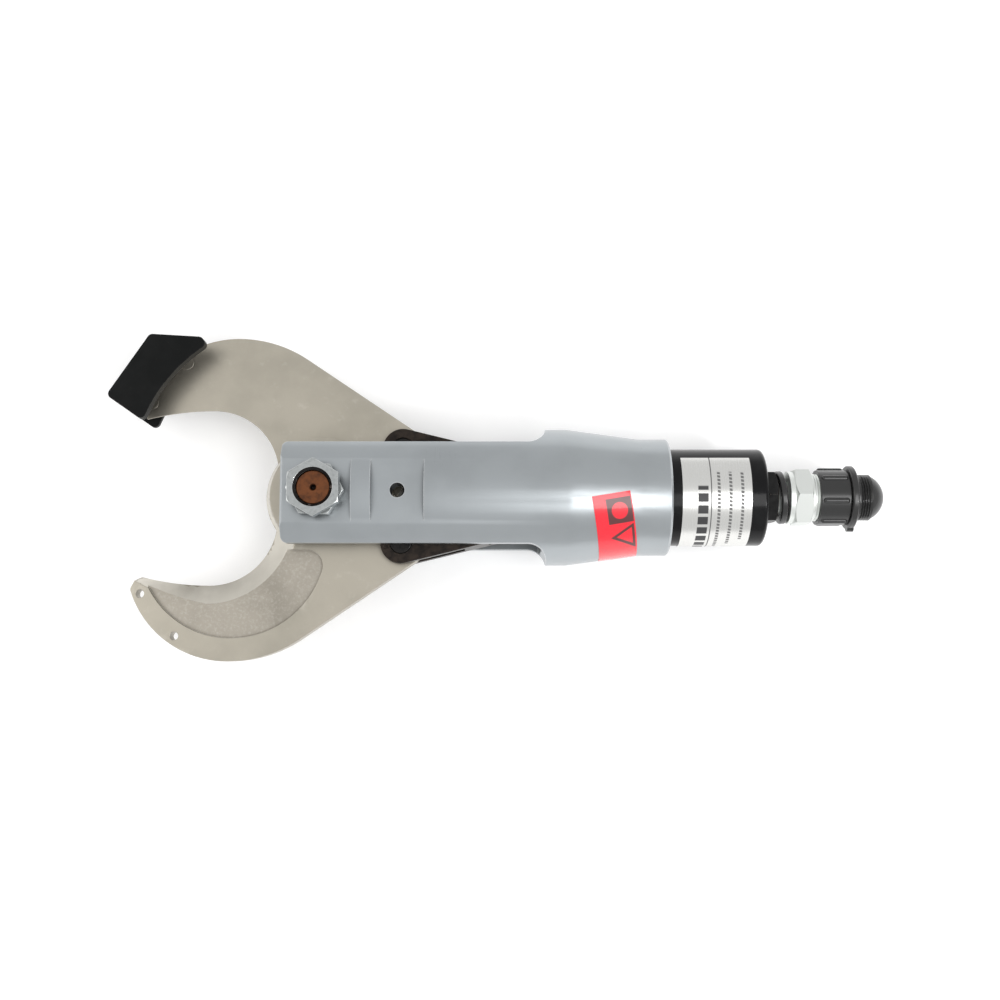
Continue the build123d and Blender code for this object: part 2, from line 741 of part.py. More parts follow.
# ---- cap and its strap --------------------------------------------------------------------
dome_tip = cap_shoulder + dome_length
dome_side = sqrt(dome_radius**2 - (dome_radius - dome_length) ** 2)
thread_floor = cap_neck_radius - thread_depth
gasket_rear = running + gasket_thickness
with BuildPart() as dust_cap:
    add(
        turned(
            (cap_front, 0),
            (cap_front, cap_sleeve_radius - rim_chamfer),
            (cap_front + rim_chamfer, cap_sleeve_radius),
            (groove_front - rim_chamfer, cap_sleeve_radius),
            (groove_front, cap_sleeve_radius - rim_chamfer),
            (groove_front, cap_neck_radius),
            (cap_shoulder, cap_neck_radius),
            (cap_shoulder, 0),
        )
    )
    with BuildSketch(Plane.XY):
        with BuildLine():
            Line((cap_shoulder, 0), (cap_shoulder, dome_side))
            ThreePointArc(
                (cap_shoulder, dome_side),
                on_circle((dome_tip - dome_radius, 0), dome_radius, dome_middle),
                (dome_tip, 0),
            )
            Line((dome_tip, 0), (cap_shoulder, 0))
        make_face()
    revolve(axis=Axis.X)
    # thread grooves on the neck, behind the place of the strap's ring
    for index in range(thread_count):
        thread_x = cap_shoulder - (index + 1) * thread_pitch
        add(
            tube(thread_x, thread_x + thread_pitch / 2, cap_sleeve_radius, thread_floor),
            mode=Mode.SUBTRACT,
        )
    # grip ribs
    with BuildSketch(Plane.YZ.offset(cap_front + rim_chamfer)):
        with PolarLocations(cap_sleeve_radius, rib_count):
            Rectangle(2 * rib_height, rib_width)
    extrude(amount=rib_length)
    add(tube(cap_front - margin, gasket_rear, nose_radius + loose), mode=Mode.SUBTRACT)

with BuildPart() as cap_gasket:
    add(tube(running, gasket_rear, nose_radius, mouth_radius))

strap_front = groove_front + side_play
strap_rear = strap_front + strap_thickness
strap_inner = cap_neck_radius + loose
with BuildPart() as strap_cap_ring:
    add(tube(strap_front, strap_rear, strap_cap_outer, strap_inner))
    fillet(strap_cap_ring.edges().filter_by(GeomType.CIRCLE), rim_chamfer)
    with BuildSketch(Plane.YZ.offset(strap_front)):
        with Locations((-strap_cap_outer + tab_radius / 2, 0)):
            Circle(tab_radius)
    extrude(amount=strap_thickness)

strap_middle = adapter_rear + strap_inset + strap_thickness / 2
with BuildPart() as strap_neck_ring:
    with BuildSketch(Plane.YZ):
        Circle(strap_neck_outer)
        Circle(neck_radius + strap_neck_gap, mode=Mode.SUBTRACT)
    extrude(amount=strap_thickness / 2, both=True)
    fillet(strap_neck_ring.edges(), rim_chamfer)
ring_place = Location((strap_middle, 0, 0), (0, 0, strap_tilt))
strap_neck_ring.part = strap_neck_ring.part.moved(ring_place)

# ---- guard --------------------------------------------------------------------------------
guard_low, guard_high = guard_corners[0], guard_corners[1]
inner_a, inner_b = guard_corners[3], guard_corners[4]
inner_span = hypot(inner_b[0] - inner_a[0], inner_b[1] - inner_a[1])
inner_middle = (
    (inner_a[0] + inner_b[0]) / 2 - guard_bow * (inner_a[1] - inner_b[1]) / inner_span,
    (inner_a[1] + inner_b[1]) / 2 + guard_bow * (inner_a[0] - inner_b[0]) / inner_span,
)
guard_bottom = -blade_top - sheet
guard_top = guard_channel + front_plate
web_angle = angle_about(guard_low, guard_high)
with BuildPart() as blade_guard:
    with BuildSketch(Plane((pivot_x, 0, guard_bottom))) as guard_outline:
        with BuildLine():
            Polyline(*guard_corners[4:], *guard_corners[:4])
            ThreePointArc(inner_a, inner_middle, inner_b)
        make_face()
        fillet(guard_outline.vertices(), guard_corner)
    extrude(amount=guard_top - guard_bottom)
    # the channel leaves the two plates and the web along the outer edge
    web_plane = Plane(
        (pivot_x + guard_low[0], guard_low[1], -blade_top),
        x_dir=(cos(radians(web_angle)), sin(radians(web_angle)), 0),
    )
    with BuildSketch(web_plane):
        with Locations((0, -sheet - beyond / 2)):
            Rectangle(beyond, beyond)
    extrude(amount=guard_channel + blade_top, mode=Mode.SUBTRACT)
    for hole_x, hole_y in tip_holes:
        with Locations((pivot_x + hole_x, -hole_y, -blade_top)):
            Hole(tip_hole_radius, depth=sheet)

screw_depth = countersink_radius - tip_hole_radius
with BuildPart() as guard_screws:
    for hole_x, hole_y in tip_holes:
        with BuildSketch(Plane((pivot_x + hole_x, -hole_y, -blade_bottom - loose))):
            Circle(countersink_radius - loose)
        extrude(amount=-screw_depth, taper=45)
        with BuildSketch(Plane((pivot_x + hole_x, -hole_y, -blade_bottom - screw_depth))):
            Circle(tip_hole_radius - loose)
        extrude(amount=-(blade_top + sheet + guard_nut_height - screw_depth))

with BuildPart() as guard_nuts:
    with BuildSketch(Plane.XY.offset(guard_bottom)):
        with Locations(*[(pivot_x + hole_x, -hole_y) for hole_x, hole_y in tip_holes]):
            RegularPolygon(guard_nut_flats / 2, 6, major_radius=False)
            Circle(tip_hole_radius, mode=Mode.SUBTRACT)
    extrude(amount=-guard_nut_height)

# ---- nameplate and label ------------------------------------------------------------------
nameplate_middle = body_rear + nameplate_gap + nameplate_length / 2
with BuildPart() as nameplate:
    with BuildSketch(Plane.XY.rotated((90 - nameplate_angles[0], 0, 0))):
        with Locations((nameplate_middle, barrel_radius + running + plate_thickness / 2)):
            Rectangle(nameplate_length, plate_thickness)
    revolve(axis=Axis.X, revolution_arc=nameplate_angles[0] - nameplate_angles[1])

cone_slope = (body_radius - sleeve_radius) / (cone_end - bulge_end)
label_front = bulge_end + rim_chamfer
label_rear = cone_end - rim_chamfer


def cone_radius(x):
    """Radius of the label's underside on the body's cone, at a place along the axis."""
    return body_radius + running - (x - bulge_end) * cone_slope


with BuildPart() as red_label:
    add(
        turned(
            (label_front, cone_radius(label_front)),
            (label_front, cone_radius(label_front) + label_thickness),
            (label_rear, cone_radius(label_rear) + label_thickness),
            (label_rear, cone_radius(label_rear)),
        )
    )
    label_plane = Plane((pivot_x + label_centre, 0, 0)).rotated((0, 0, label_turn))
    with BuildSketch(label_plane):
        with Locations((0, (label_top - body_radius - margin) / 2)):
            Rectangle(label_width, body_radius + margin + label_top)
    extrude(amount=body_radius + margin, mode=Mode.INTERSECT)

# ---- export -------------------------------------------------------------------------------
pieces = {
    "fork_body": fork_body,
    "lower_blade": lower_blade,
    "upper_blade": upper_blade,
    "pivot_bolt": pivot_bolt,
    "pivot_bush": pivot_bush,
    "thrust_spacers": thrust_spacers,
    "pivot_jam_nut": pivot_jam_nut,
    "pivot_lock_nut": pivot_lock_nut,
    "lower_link": lower_link,
    "upper_link": upper_link,
    "lower_link_pin": lower_link_pin,
    "upper_link_pin": upper_link_pin,
    "crosshead": crosshead,
    "ram_pins": ram_pins,
    "ram_rod": ram_rod,
    "piston": piston,
    "wear_ring": wear_ring,
    "backup_ring": backup_ring,
    "piston_seal": piston_seal,
    "piston_nut": piston_nut,
    "rod_guide": rod_guide,
    "rod_wiper": rod_wiper,
    "spring_seat": spring_seat,
    "return_spring": return_spring,
    "cylinder_barrel": cylinder_barrel,
    "barrel_set_screw": barrel_set_screw,
    "port_adapter": port_adapter,
    "adapter_washer": adapter_washer,
    "coupler_body": coupler_body,
    "valve_poppet": valve_poppet,
    "valve_spring": valve_spring,
    "dust_cap": dust_cap,
    "cap_gasket": cap_gasket,
    "strap_cap_ring": strap_cap_ring,
    "strap_neck_ring": strap_neck_ring,
    "blade_guard": blade_guard,
    "guard_screws": guard_screws,
    "guard_nuts": guard_nuts,
    "nameplate": nameplate,
    "red_label": red_label,
}
for label, piece in pieces.items():
    piece.part.label = label
    export_step(piece.part, f"parts/{label}.step")
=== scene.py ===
"""A hydraulic cutter head lying on a studio table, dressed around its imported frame.

X runs along the tool, from the jaws towards the hose coupling, Y spreads the jaws and Z is the
axis of the pivot bolt. Lengths are metres, angles degrees, unless a name says otherwise.
"""

import json
import logging
import math
from collections.abc import Callable, Sequence
from dataclasses import dataclass
from enum import Enum

import bmesh
import bpy
from mathutils import Matrix, Vector

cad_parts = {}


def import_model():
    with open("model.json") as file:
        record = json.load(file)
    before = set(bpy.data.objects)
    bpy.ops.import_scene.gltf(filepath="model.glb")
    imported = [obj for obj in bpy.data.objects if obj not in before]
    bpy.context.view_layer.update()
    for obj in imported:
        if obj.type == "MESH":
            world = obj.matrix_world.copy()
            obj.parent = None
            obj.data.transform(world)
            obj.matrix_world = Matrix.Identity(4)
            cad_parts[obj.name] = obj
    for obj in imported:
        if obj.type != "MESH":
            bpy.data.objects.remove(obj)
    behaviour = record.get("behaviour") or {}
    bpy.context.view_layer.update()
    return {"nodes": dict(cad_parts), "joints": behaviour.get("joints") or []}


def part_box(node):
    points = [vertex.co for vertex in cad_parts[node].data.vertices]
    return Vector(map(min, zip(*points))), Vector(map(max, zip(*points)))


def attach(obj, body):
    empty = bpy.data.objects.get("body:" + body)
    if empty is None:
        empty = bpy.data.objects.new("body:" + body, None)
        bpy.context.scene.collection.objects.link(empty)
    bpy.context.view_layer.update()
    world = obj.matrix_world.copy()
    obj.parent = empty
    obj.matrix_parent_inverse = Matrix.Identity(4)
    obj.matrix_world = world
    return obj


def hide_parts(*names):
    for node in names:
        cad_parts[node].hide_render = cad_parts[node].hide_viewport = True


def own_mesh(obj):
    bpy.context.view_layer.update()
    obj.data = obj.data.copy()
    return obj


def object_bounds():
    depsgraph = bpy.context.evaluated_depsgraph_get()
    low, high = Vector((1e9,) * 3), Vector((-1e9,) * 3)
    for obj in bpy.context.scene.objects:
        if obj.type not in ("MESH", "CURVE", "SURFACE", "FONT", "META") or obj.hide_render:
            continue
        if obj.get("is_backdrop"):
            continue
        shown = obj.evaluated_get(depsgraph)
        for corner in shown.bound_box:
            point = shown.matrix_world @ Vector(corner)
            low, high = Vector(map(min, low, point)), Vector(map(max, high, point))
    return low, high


log = logging.getLogger("cutter_head")

MM = 0.001
WELD = 0.002 * MM  # vertices closer than this are one
FACET_SAG = 0.03 * MM  # how far a facet's corners may lie off their true radius
LATHE_STEPS = 96
LEVEL = 0.99  # a normal's share along Z from which a face counts as level
SHARP = 34.0  # edges sharper than this stay sharp in shading
EDGE_TURN = (0.985, 0.86)  # agreement of bevelled and true normal where the bright edge band, wear and painted highlight, starts and ends
HOLLOW = (0.85, 0.25)  # openness where the painted shade starts and where it is full
Colour = tuple[float, float, float]
Point = tuple[float, float, float]


class Body(Enum):
    """The bodies of the frame that new pieces ride on."""

    ROOT = "root"
    UPPER_JAW = "upper_jaw"
    LOWER_JAW = "lower_jaw"
    UPPER_LINK = "upper_link"
    LOWER_LINK = "lower_link"
    RAM = "ram"
    VALVE = "valve"
    CAP = "cap"


class Grain(Enum):
    """How a metal face was cut."""

    PLATED = "plated"
    GROUND = "ground"
    MILLED = "milled"


# ---- shader arithmetic --------------------------------------------------------------------


class Term:
    """A shader socket that takes part in Python arithmetic."""

    def __init__(self, graph: "Graph", socket: bpy.types.NodeSocket) -> None:
        """Wraps one output socket of a node tree."""
        self.graph = graph
        self.socket = socket

    def math(self, operation: str, *others: "Term | float") -> "Term":
        """Applies a Math node with this value first and others after it, and returns its value."""
        inputs = dict(enumerate((self, *others)))
        return self.graph.add("ShaderNodeMath", {"operation": operation}, inputs)

    def reflected(self, operation: str, first: "Term | float") -> "Term":
        """Applies a Math node with this value second, and returns its value."""
        inputs = {0: first, 1: self}
        return self.graph.add("ShaderNodeMath", {"operation": operation}, inputs)

    def __add__(self, other: "Term | float") -> "Term":
        """Sum."""
        return self.math("ADD", other)

    def __radd__(self, other: float) -> "Term":
        """Sum with a number first."""
        return self.reflected("ADD", other)

    def __sub__(self, other: "Term | float") -> "Term":
        """Difference."""
        return self.math("SUBTRACT", other)

    def __rsub__(self, other: float) -> "Term":
        """Difference with a number first."""
        return self.reflected("SUBTRACT", other)

    def __mul__(self, other: "Term | float") -> "Term":
        """Product."""
        return self.math("MULTIPLY", other)

    def __rmul__(self, other: float) -> "Term":
        """Product with a number first."""
        return self.reflected("MULTIPLY", other)

    def __truediv__(self, other: "Term | float") -> "Term":
        """Quotient."""
        return self.math("DIVIDE", other)

    def rise(self, low: float, high: float) -> "Term":
        """Goes smoothly from 0 at low to 1 at high, which may be under low."""
        return self.graph.add(
            "ShaderNodeMapRange",
            {"interpolation_type": "SMOOTHSTEP", "clamp": True},
            {0: self, 1: low, 2: high, 3: 0.0, 4: 1.0},
        )

    def within(self, low: float, high: float, soft: float) -> "Term":
        """Is 1 between low and high and 0 outside, with edges that reach soft each way."""
        return self.rise(low - soft, low + soft) * self.rise(high + soft, high - soft)


class Graph:
    """The node tree of one material."""

    def __init__(self, name: str) -> None:
        """Makes an empty material with a Principled shader."""
        self.material = bpy.data.materials.new(name)
        self.material.use_nodes = True
        self.tree = self.material.node_tree
        self.tree.nodes.clear()
        self.shader = self.tree.nodes.new("ShaderNodeBsdfPrincipled")
        output = self.tree.nodes.new("ShaderNodeOutputMaterial")
        self.tree.links.new(self.shader.outputs[0], output.inputs[0])
        self.place = self.add("ShaderNodeTexCoord", output="Object")

    def add(
        self,
        kind: str,
        settings: dict | None = None,
        inputs: dict | None = None,
        output: int | str = 0,
    ) -> Term:
        """Adds a node.

        Args:
            kind: The node's type.
            settings: Its settings, set first.
            inputs: Values or terms by input name or number.
            output: The output that is wanted.

        Returns:
            That output as a term.
        """
        node = self.tree.nodes.new(kind)
        for key, value in (settings or {}).items():
            setattr(node, key, value)
        for key, value in (inputs or {}).items():
            if isinstance(value, Term):
                self.tree.links.new(value.socket, node.inputs[key])
            else:
                node.inputs[key].default_value = value
        return Term(self, node.outputs[output])

    def stretched(self, scale: Point) -> Term:
        """The place on the piece with each axis scaled on its own."""
        return self.add("ShaderNodeVectorMath", {"operation": "MULTIPLY"}, {0: self.place, 1: scale})

    def noise(
        self, scale: float, detail: float = 3.0, rough: float = 0.5, place: Term | None = None
    ) -> Term:
        """Smooth noise around 0.5, scale features per metre, read at the place on the piece."""
        inputs = {"Vector": place or self.place, "Scale": scale, "Detail": detail, "Roughness": rough}
        return self.add("ShaderNodeTexNoise", None, inputs)

    def axes(self) -> tuple[Term, Term, Term]:
        """The place on the piece as three terms."""
        return tuple(
            self.add("ShaderNodeSeparateXYZ", None, {0: self.place}, output=axis) for axis in range(3)
        )

    def blend(self, first: Term | Colour, second: Term | Colour, share: Term | float) -> Term:
        """Mixes two colours; share is the share of the second."""
        inputs = {0: share}
        for key, colour in ((6, first), (7, second)):
            inputs[key] = colour if isinstance(colour, Term) else (*colour, 1.0)
        settings = {"data_type": "RGBA", "clamp_factor": True}
        return self.add("ShaderNodeMix", settings, inputs, output=2)

    def edge_wear_and_highlight(self, width: float) -> Term:
        """Mask of edges, width metres each side of an edge, painted bright as wear and, on the alloy
        and zinc, as a painted highlight.
        """
        rounded = self.add("ShaderNodeBevel", {"samples": 4}, {"Radius": width})
        flat = self.add("ShaderNodeNewGeometry", None, None, output="Normal")
        dot = self.add(
            "ShaderNodeVectorMath", {"operation": "DOT_PRODUCT"}, {0: rounded, 1: flat}, output="Value"
        )
        return dot.rise(*EDGE_TURN)

    def painted_hollow_shade(self, reach: float) -> Term:
        """Mask of painted shade in hollows and inside corners, looking reach metres around."""
        opening = self.add("ShaderNodeAmbientOcclusion", {"samples": 8}, {"Distance": reach}, "AO")
        return opening.rise(*HOLLOW)

    def bump(self, height: Term, depth: float, strength: float = 1.0) -> Term:
        """The normal of a relief whose height 1 stands for depth metres."""
        inputs = {"Height": height, "Distance": depth, "Strength": strength}
        return self.add("ShaderNodeBump", None, inputs, output="Normal")

    def feed(self, **sockets: Term | float | Colour) -> None:
        """Sets or links the shader's sockets, named with _ for a space."""
        for key, value in sockets.items():
            socket = self.shader.inputs[key.replace("_", " ")]
            if isinstance(value, Term):
                self.tree.links.new(value.socket, socket)
            elif isinstance(value, tuple):
                socket.default_value = (*value, 1.0)
            else:
                socket.default_value = value


# ---- finishes -----------------------------------------------------------------------------


@dataclass(frozen=True)
class Finish:
    """A surface finish with a name."""

    name: str

    def dress(self, graph: Graph) -> None:
        """Fills the material's node tree."""
        raise NotImplementedError

    def material(self) -> bpy.types.Material:
        """The finish as a material, made once."""
        known = bpy.data.materials.get(self.name)
        if known:
            return known
        graph = Graph(self.name)
        self.dress(graph)
        return graph.material


@dataclass(frozen=True)
class SatinAlloy(Finish):
    """Blasted and anodised light alloy, with faint turning lines round the axis."""

    colour: Colour = (0.375, 0.40, 0.415)
    deep: Colour = (0.345, 0.368, 0.382)
    bright: Colour = (0.78, 0.80, 0.81)
    painted_shade_colour: Colour = (0.03, 0.032, 0.034)
    roughness: float = 0.3

    def dress(self, graph: Graph) -> None:
        """Cloudy satin base, turning lines, handling scratches, edges rubbed bright and partly a
        painted highlight, and painted shade in the hollows.
        """
        cloud = graph.noise(28.0, 4.0, 0.55)
        grain = graph.noise(3800.0, 2.0)
        lines = graph.noise(1.0, 2.0, 0.6, graph.stretched((5200.0, 30.0, 30.0)))
        rubs = graph.noise(1.0, 3.0, 0.5, graph.stretched((260.0, 2600.0, 2600.0))).rise(0.68, 0.76)
        # edges painted bright: partly rubbed wear, partly a painted highlight along edges and chamfers
        edge = graph.edge_wear_and_highlight(0.0008) * graph.noise(420.0).rise(0.2, 0.6)
        base = graph.blend(self.deep, self.colour, cloud.rise(0.3, 0.62))
        base = graph.blend(base, self.bright, edge * 0.9 + rubs * 0.1)
        # painted shade: darkens holes, hollows and inside corners where shade falls
        base = graph.blend(base, self.painted_shade_colour, graph.painted_hollow_shade(0.006) * 0.85)
        rough = self.roughness + (cloud - 0.5) * 0.06 + (lines - 0.5) * 0.08 - edge * 0.12
        relief = graph.bump(lines * 0.5 + grain * 0.5 - rubs * 0.2, 0.00002, 0.5)
        graph.feed(Base_Color=base, Roughness=rough, Metallic=0.92, Normal=relief)


@dataclass(frozen=True)
class ToolSteel(Finish):
    """Nickel plated blade steel, plain, ground or milled."""

    grain: Grain = Grain.PLATED
    colour: Colour = (0.42, 0.39, 0.33)
    deep: Colour = (0.375, 0.35, 0.295)
    bright: Colour = (0.80, 0.78, 0.72)
    painted_shade_colour: Colour = (0.06, 0.05, 0.038)

    def dress(self, graph: Graph) -> None:
        """Warm satin plating over the marks that its kind of cutting leaves."""
        cloud = graph.noise(34.0, 5.0, 0.6)
        fine = graph.noise(5200.0, 2.0)
        edge = graph.edge_wear_and_highlight(0.0004)
        stain = graph.noise(120.0, 6.0, 0.7).rise(0.56, 0.72)
        if self.grain is Grain.GROUND:
            marks = graph.noise(1.0, 2.0, 0.5, graph.stretched((1900.0, 1900.0, 90.0)))
            depth, rough = 0.000008, 0.34
        elif self.grain is Grain.MILLED:
            marks = graph.noise(620.0, 8.0, 0.75)
            depth, rough = 0.00006, 0.42
        else:
            marks = graph.noise(1.0, 2.0, 0.5, graph.stretched((420.0, 3600.0, 420.0)))
            depth, rough = 0.00002, 0.38
        patch = marks.rise(0.46, 0.7) * 0.5 if self.grain is Grain.MILLED else stain * 0.35
        base = graph.blend(self.deep, self.colour, cloud.rise(0.28, 0.64))
        base = graph.blend(base, self.bright, patch * 0.35 + edge * 0.15)
        # painted shade: darkens the pocket's rim and other hollows where shade falls
        base = graph.blend(base, self.painted_shade_colour, graph.painted_hollow_shade(0.0035) * 0.6)
        dull = rough + (cloud - 0.5) * 0.12 + (fine - 0.5) * 0.05 - edge * 0.1 + stain * 0.05
        relief = graph.bump(marks * 0.7 + fine * 0.3, depth, 0.7)
        graph.feed(Base_Color=base, Roughness=dull, Metallic=0.95, Normal=relief)


@dataclass(frozen=True)
class Plating(Finish):
    """Bright zinc plating with a slight crystalline grain."""

    colour: Colour = (0.46, 0.48, 0.48)
    deep: Colour = (0.38, 0.40, 0.40)
    roughness: float = 0.2
    grain: float = 500.0
    rubbed_and_highlight: Colour = (0.92, 0.93, 0.92)
    painted_shade_colour: Colour = (0.04, 0.042, 0.042)

    def dress(self, graph: Graph) -> None:
        """Grainy bright metal, edges rubbed bright and partly a painted highlight, with painted shade
        in the hollows.
        """
        crystal = graph.noise(self.grain, 5.0, 0.7)
        cloud = graph.noise(90.0, 3.0)
        edge = graph.edge_wear_and_highlight(0.0005)
        base = graph.blend(self.deep, self.colour, crystal.rise(0.3, 0.56))
        # edges painted bright: partly rubbed wear, partly a painted highlight on the nut's chamfered
        # corners
        base = graph.blend(base, self.rubbed_and_highlight, edge * 0.7)
        # painted shade: darkens hollows and inside corners where shade falls
        base = graph.blend(base, self.painted_shade_colour, graph.painted_hollow_shade(0.003) * 0.8)
        rough = self.roughness + (crystal - 0.5) * 0.16 + (cloud - 0.5) * 0.16 - edge * 0.05
        relief = graph.bump(crystal, 0.00003, 0.5)
        graph.feed(Base_Color=base, Roughness=rough, Metallic=1.0, Normal=relief)


@dataclass(frozen=True)
class OxideSteel(Finish):
    """Steel with a brown or black oxide skin, rubbed through at its edges."""

    colour: Colour = (0.030, 0.022, 0.017)
    deep: Colour = (0.010, 0.008, 0.007)
    bright: Colour = (0.26, 0.23, 0.20)
    roughness: float = 0.36
    rub: float = 0.5

    def dress(self, graph: Graph) -> None:
        """Mottled skin, forged grain and thin bright edges."""
        mottle = graph.noise(210.0, 6.0, 0.68)
        grit = graph.noise(2400.0, 3.0)
        edge = graph.edge_wear_and_highlight(0.00035) * graph.noise(650.0).rise(0.34, 0.6)
        base = graph.blend(self.deep, self.colour, mottle.rise(0.34, 0.62))
        base = graph.blend(base, self.bright, edge * self.rub)
        rough = self.roughness + (mottle - 0.5) * 0.3 + (grit - 0.5) * 0.08
        relief = graph.bump(mottle * 0.5 + grit * 0.5, 0.00008, 0.45)
        graph.feed(Base_Color=base, Roughness=rough, Metallic=0.75, Normal=relief)


@dataclass(frozen=True)
class TurnedOxide(Finish):
    """Brown oxide over a face turned round the pivot axis."""

    centre: float = 0.0
    hole: float = 0.0014
    colour: Colour = (0.13, 0.040, 0.011)
    deep: Colour = (0.05, 0.016, 0.006)
    bright: Colour = (0.30, 0.13, 0.06)
    shade: Colour = (0.01, 0.004, 0.003)
    rings: float = 11000.0

    def dress(self, graph: Graph) -> None:
        """Fine turned rings, darker stains and a dark disc painted as the shade in a centre hole."""
        x, y, _ = graph.axes()
        across = x - self.centre
        radius = (across * across + y * y).math("SQRT")
        wobble = graph.noise(300.0, 3.0) * 0.0004
        rings = ((radius + wobble) * self.rings).math("SINE") * 0.5 + 0.5
        mottle = graph.noise(260.0, 6.0, 0.68)
        edge = graph.edge_wear_and_highlight(0.0003)
        base = graph.blend(self.deep, self.colour, mottle.rise(0.3, 0.6))
        base = graph.blend(base, self.bright, rings * 0.22 + edge * 0.4)
        # painted shade: a dark disc stands for the shade inside a centre hole
        base = graph.blend(base, self.shade, radius.rise(self.hole * 1.2, self.hole))
        rough = 0.34 + (mottle - 0.5) * 0.2 + (rings - 0.5) * 0.08
        relief = graph.bump(rings * 0.6 + mottle * 0.4, 0.00004, 0.5)
        graph.feed(Base_Color=base, Roughness=rough, Metallic=0.7, Normal=relief)


@dataclass(frozen=True)
class GlossPaint(Finish):
    """Sprayed black paint over turned steel."""

    colour: Colour = (0.003, 0.003, 0.0035)
    haze: Colour = (0.007, 0.0075, 0.008)
    bare: Colour = (0.16, 0.16, 0.155)
    roughness: float = 0.2

    def dress(self, graph: Graph) -> None:
        """Deep colour, orange peel, dust specks and a few rubs."""
        peel = graph.noise(650.0, 2.0, 0.4)
        cloud = graph.noise(60.0, 4.0, 0.6)
        dust = graph.noise(4200.0, 1.0).rise(0.74, 0.8)
        edge = graph.edge_wear_and_highlight(0.0004) * graph.noise(800.0).rise(0.5, 0.62)
        base = graph.blend(self.colour, self.haze, cloud.rise(0.4, 0.7))
        base = graph.blend(base, self.bare, dust * 0.2 + edge * 0.3)
        rough = self.roughness + (cloud - 0.5) * 0.12 + dust * 0.3
        relief = graph.bump(peel, 0.00004, 0.35)
        graph.feed(
            Base_Color=base,
            Roughness=rough,
            Normal=relief,
            Specular_IOR_Level=0.14,
            Coat_Weight=0.06,
            Coat_Roughness=0.06,
        )


@dataclass(frozen=True)
class MouldedPlastic(Finish):
    """Black moulded plastic with a faint flow pattern."""

    colour: Colour = (0.0015, 0.0015, 0.0018)
    haze: Colour = (0.004, 0.004, 0.0045)
    scuffed: Colour = (0.07, 0.07, 0.07)
    roughness: float = 0.2

    def dress(self, graph: Graph) -> None:
        """Glossy black, softly uneven, with scuffs on the raised edges."""
        flow = graph.noise(140.0, 4.0, 0.6)
        skin = graph.noise(2600.0, 2.0)
        scuff = graph.edge_wear_and_highlight(0.0004) * graph.noise(1500.0, 4.0, 0.7).rise(0.46, 0.6)
        base = graph.blend(self.colour, self.haze, flow.rise(0.36, 0.7))
        base = graph.blend(base, self.scuffed, scuff * 0.35)
        rough = self.roughness + (flow - 0.5) * 0.16 + scuff * 0.25 + (skin - 0.5) * 0.05
        relief = graph.bump(flow * 0.7 + skin * 0.3, 0.00004, 0.35)
        graph.feed(Base_Color=base, Roughness=rough, Normal=relief, Specular_IOR_Level=0.14)


@dataclass(frozen=True)
class PowderCoat(Finish):
    """Matt black powder coating on sheet steel."""

    colour: Colour = (0.0035, 0.004, 0.004)
    haze: Colour = (0.0065, 0.007, 0.007)
    bare: Colour = (0.05, 0.05, 0.047)

    def dress(self, graph: Graph) -> None:
        """Fine pebbled skin, chalky clouds, grey worn edges."""
        pebble = graph.noise(1700.0, 2.0, 0.45)
        cloud = graph.noise(48.0, 5.0, 0.6)
        speck = graph.noise(1500.0, 1.0).rise(0.72, 0.8)
        edge = graph.edge_wear_and_highlight(0.0005) * graph.noise(520.0, 4.0).rise(0.32, 0.56)
        base = graph.blend(self.colour, self.haze, cloud.rise(0.34, 0.68))
        base = graph.blend(base, self.bare, edge * 0.9 + speck * 0.3)
        rough = 0.5 + (cloud - 0.5) * 0.14 + (pebble - 0.5) * 0.1 - edge * 0.1
        relief = graph.bump(pebble, 0.00005, 0.5)
        graph.feed(Base_Color=base, Roughness=rough, Normal=relief, Specular_IOR_Level=0.1)


@dataclass(frozen=True)
class TurnedMetal(Finish):
    """Plain turned or ground metal, for the pieces inside."""

    colour: Colour = (0.42, 0.42, 0.42)
    roughness: float = 0.26
    along: Point = (4200.0, 40.0, 40.0)
    rubbed_and_highlight: Colour = (0.8, 0.8, 0.79)

    def dress(self, graph: Graph) -> None:
        """Tool lines across one axis, oil clouds, bright edges."""
        lines = graph.noise(1.0, 2.0, 0.6, graph.stretched(self.along))
        oil = graph.noise(75.0, 4.0, 0.6)
        edge = graph.edge_wear_and_highlight(0.0003)
        dark = tuple(channel * 0.7 for channel in self.colour)
        base = graph.blend(dark, self.colour, oil.rise(0.3, 0.6))
        base = graph.blend(base, self.rubbed_and_highlight, edge * 0.4)
        rough = self.roughness + (lines - 0.5) * 0.12 + (oil - 0.5) * 0.14
        relief = graph.bump(lines, 0.00003, 0.5)
        graph.feed(Base_Color=base, Roughness=rough, Metallic=1.0, Normal=relief)


@dataclass(frozen=True)
class SealPolymer(Finish):
    """Rubber or filled plastic of rings and washers."""

    colour: Colour = (0.012, 0.012, 0.012)
    roughness: float = 0.55

    def dress(self, graph: Graph) -> None:
        """Dull, slightly mottled, fine grained."""
        mottle = graph.noise(300.0, 5.0, 0.65)
        grain = graph.noise(3600.0, 2.0)
        light = tuple(channel * 1.9 for channel in self.colour)
        base = graph.blend(self.colour, light, mottle.rise(0.35, 0.7))
        rough = self.roughness + (mottle - 0.5) * 0.2 + (grain - 0.5) * 0.1
        relief = graph.bump(grain * 0.6 + mottle * 0.4, 0.00008, 0.5)
        graph.feed(Base_Color=base, Roughness=rough, Normal=relief)


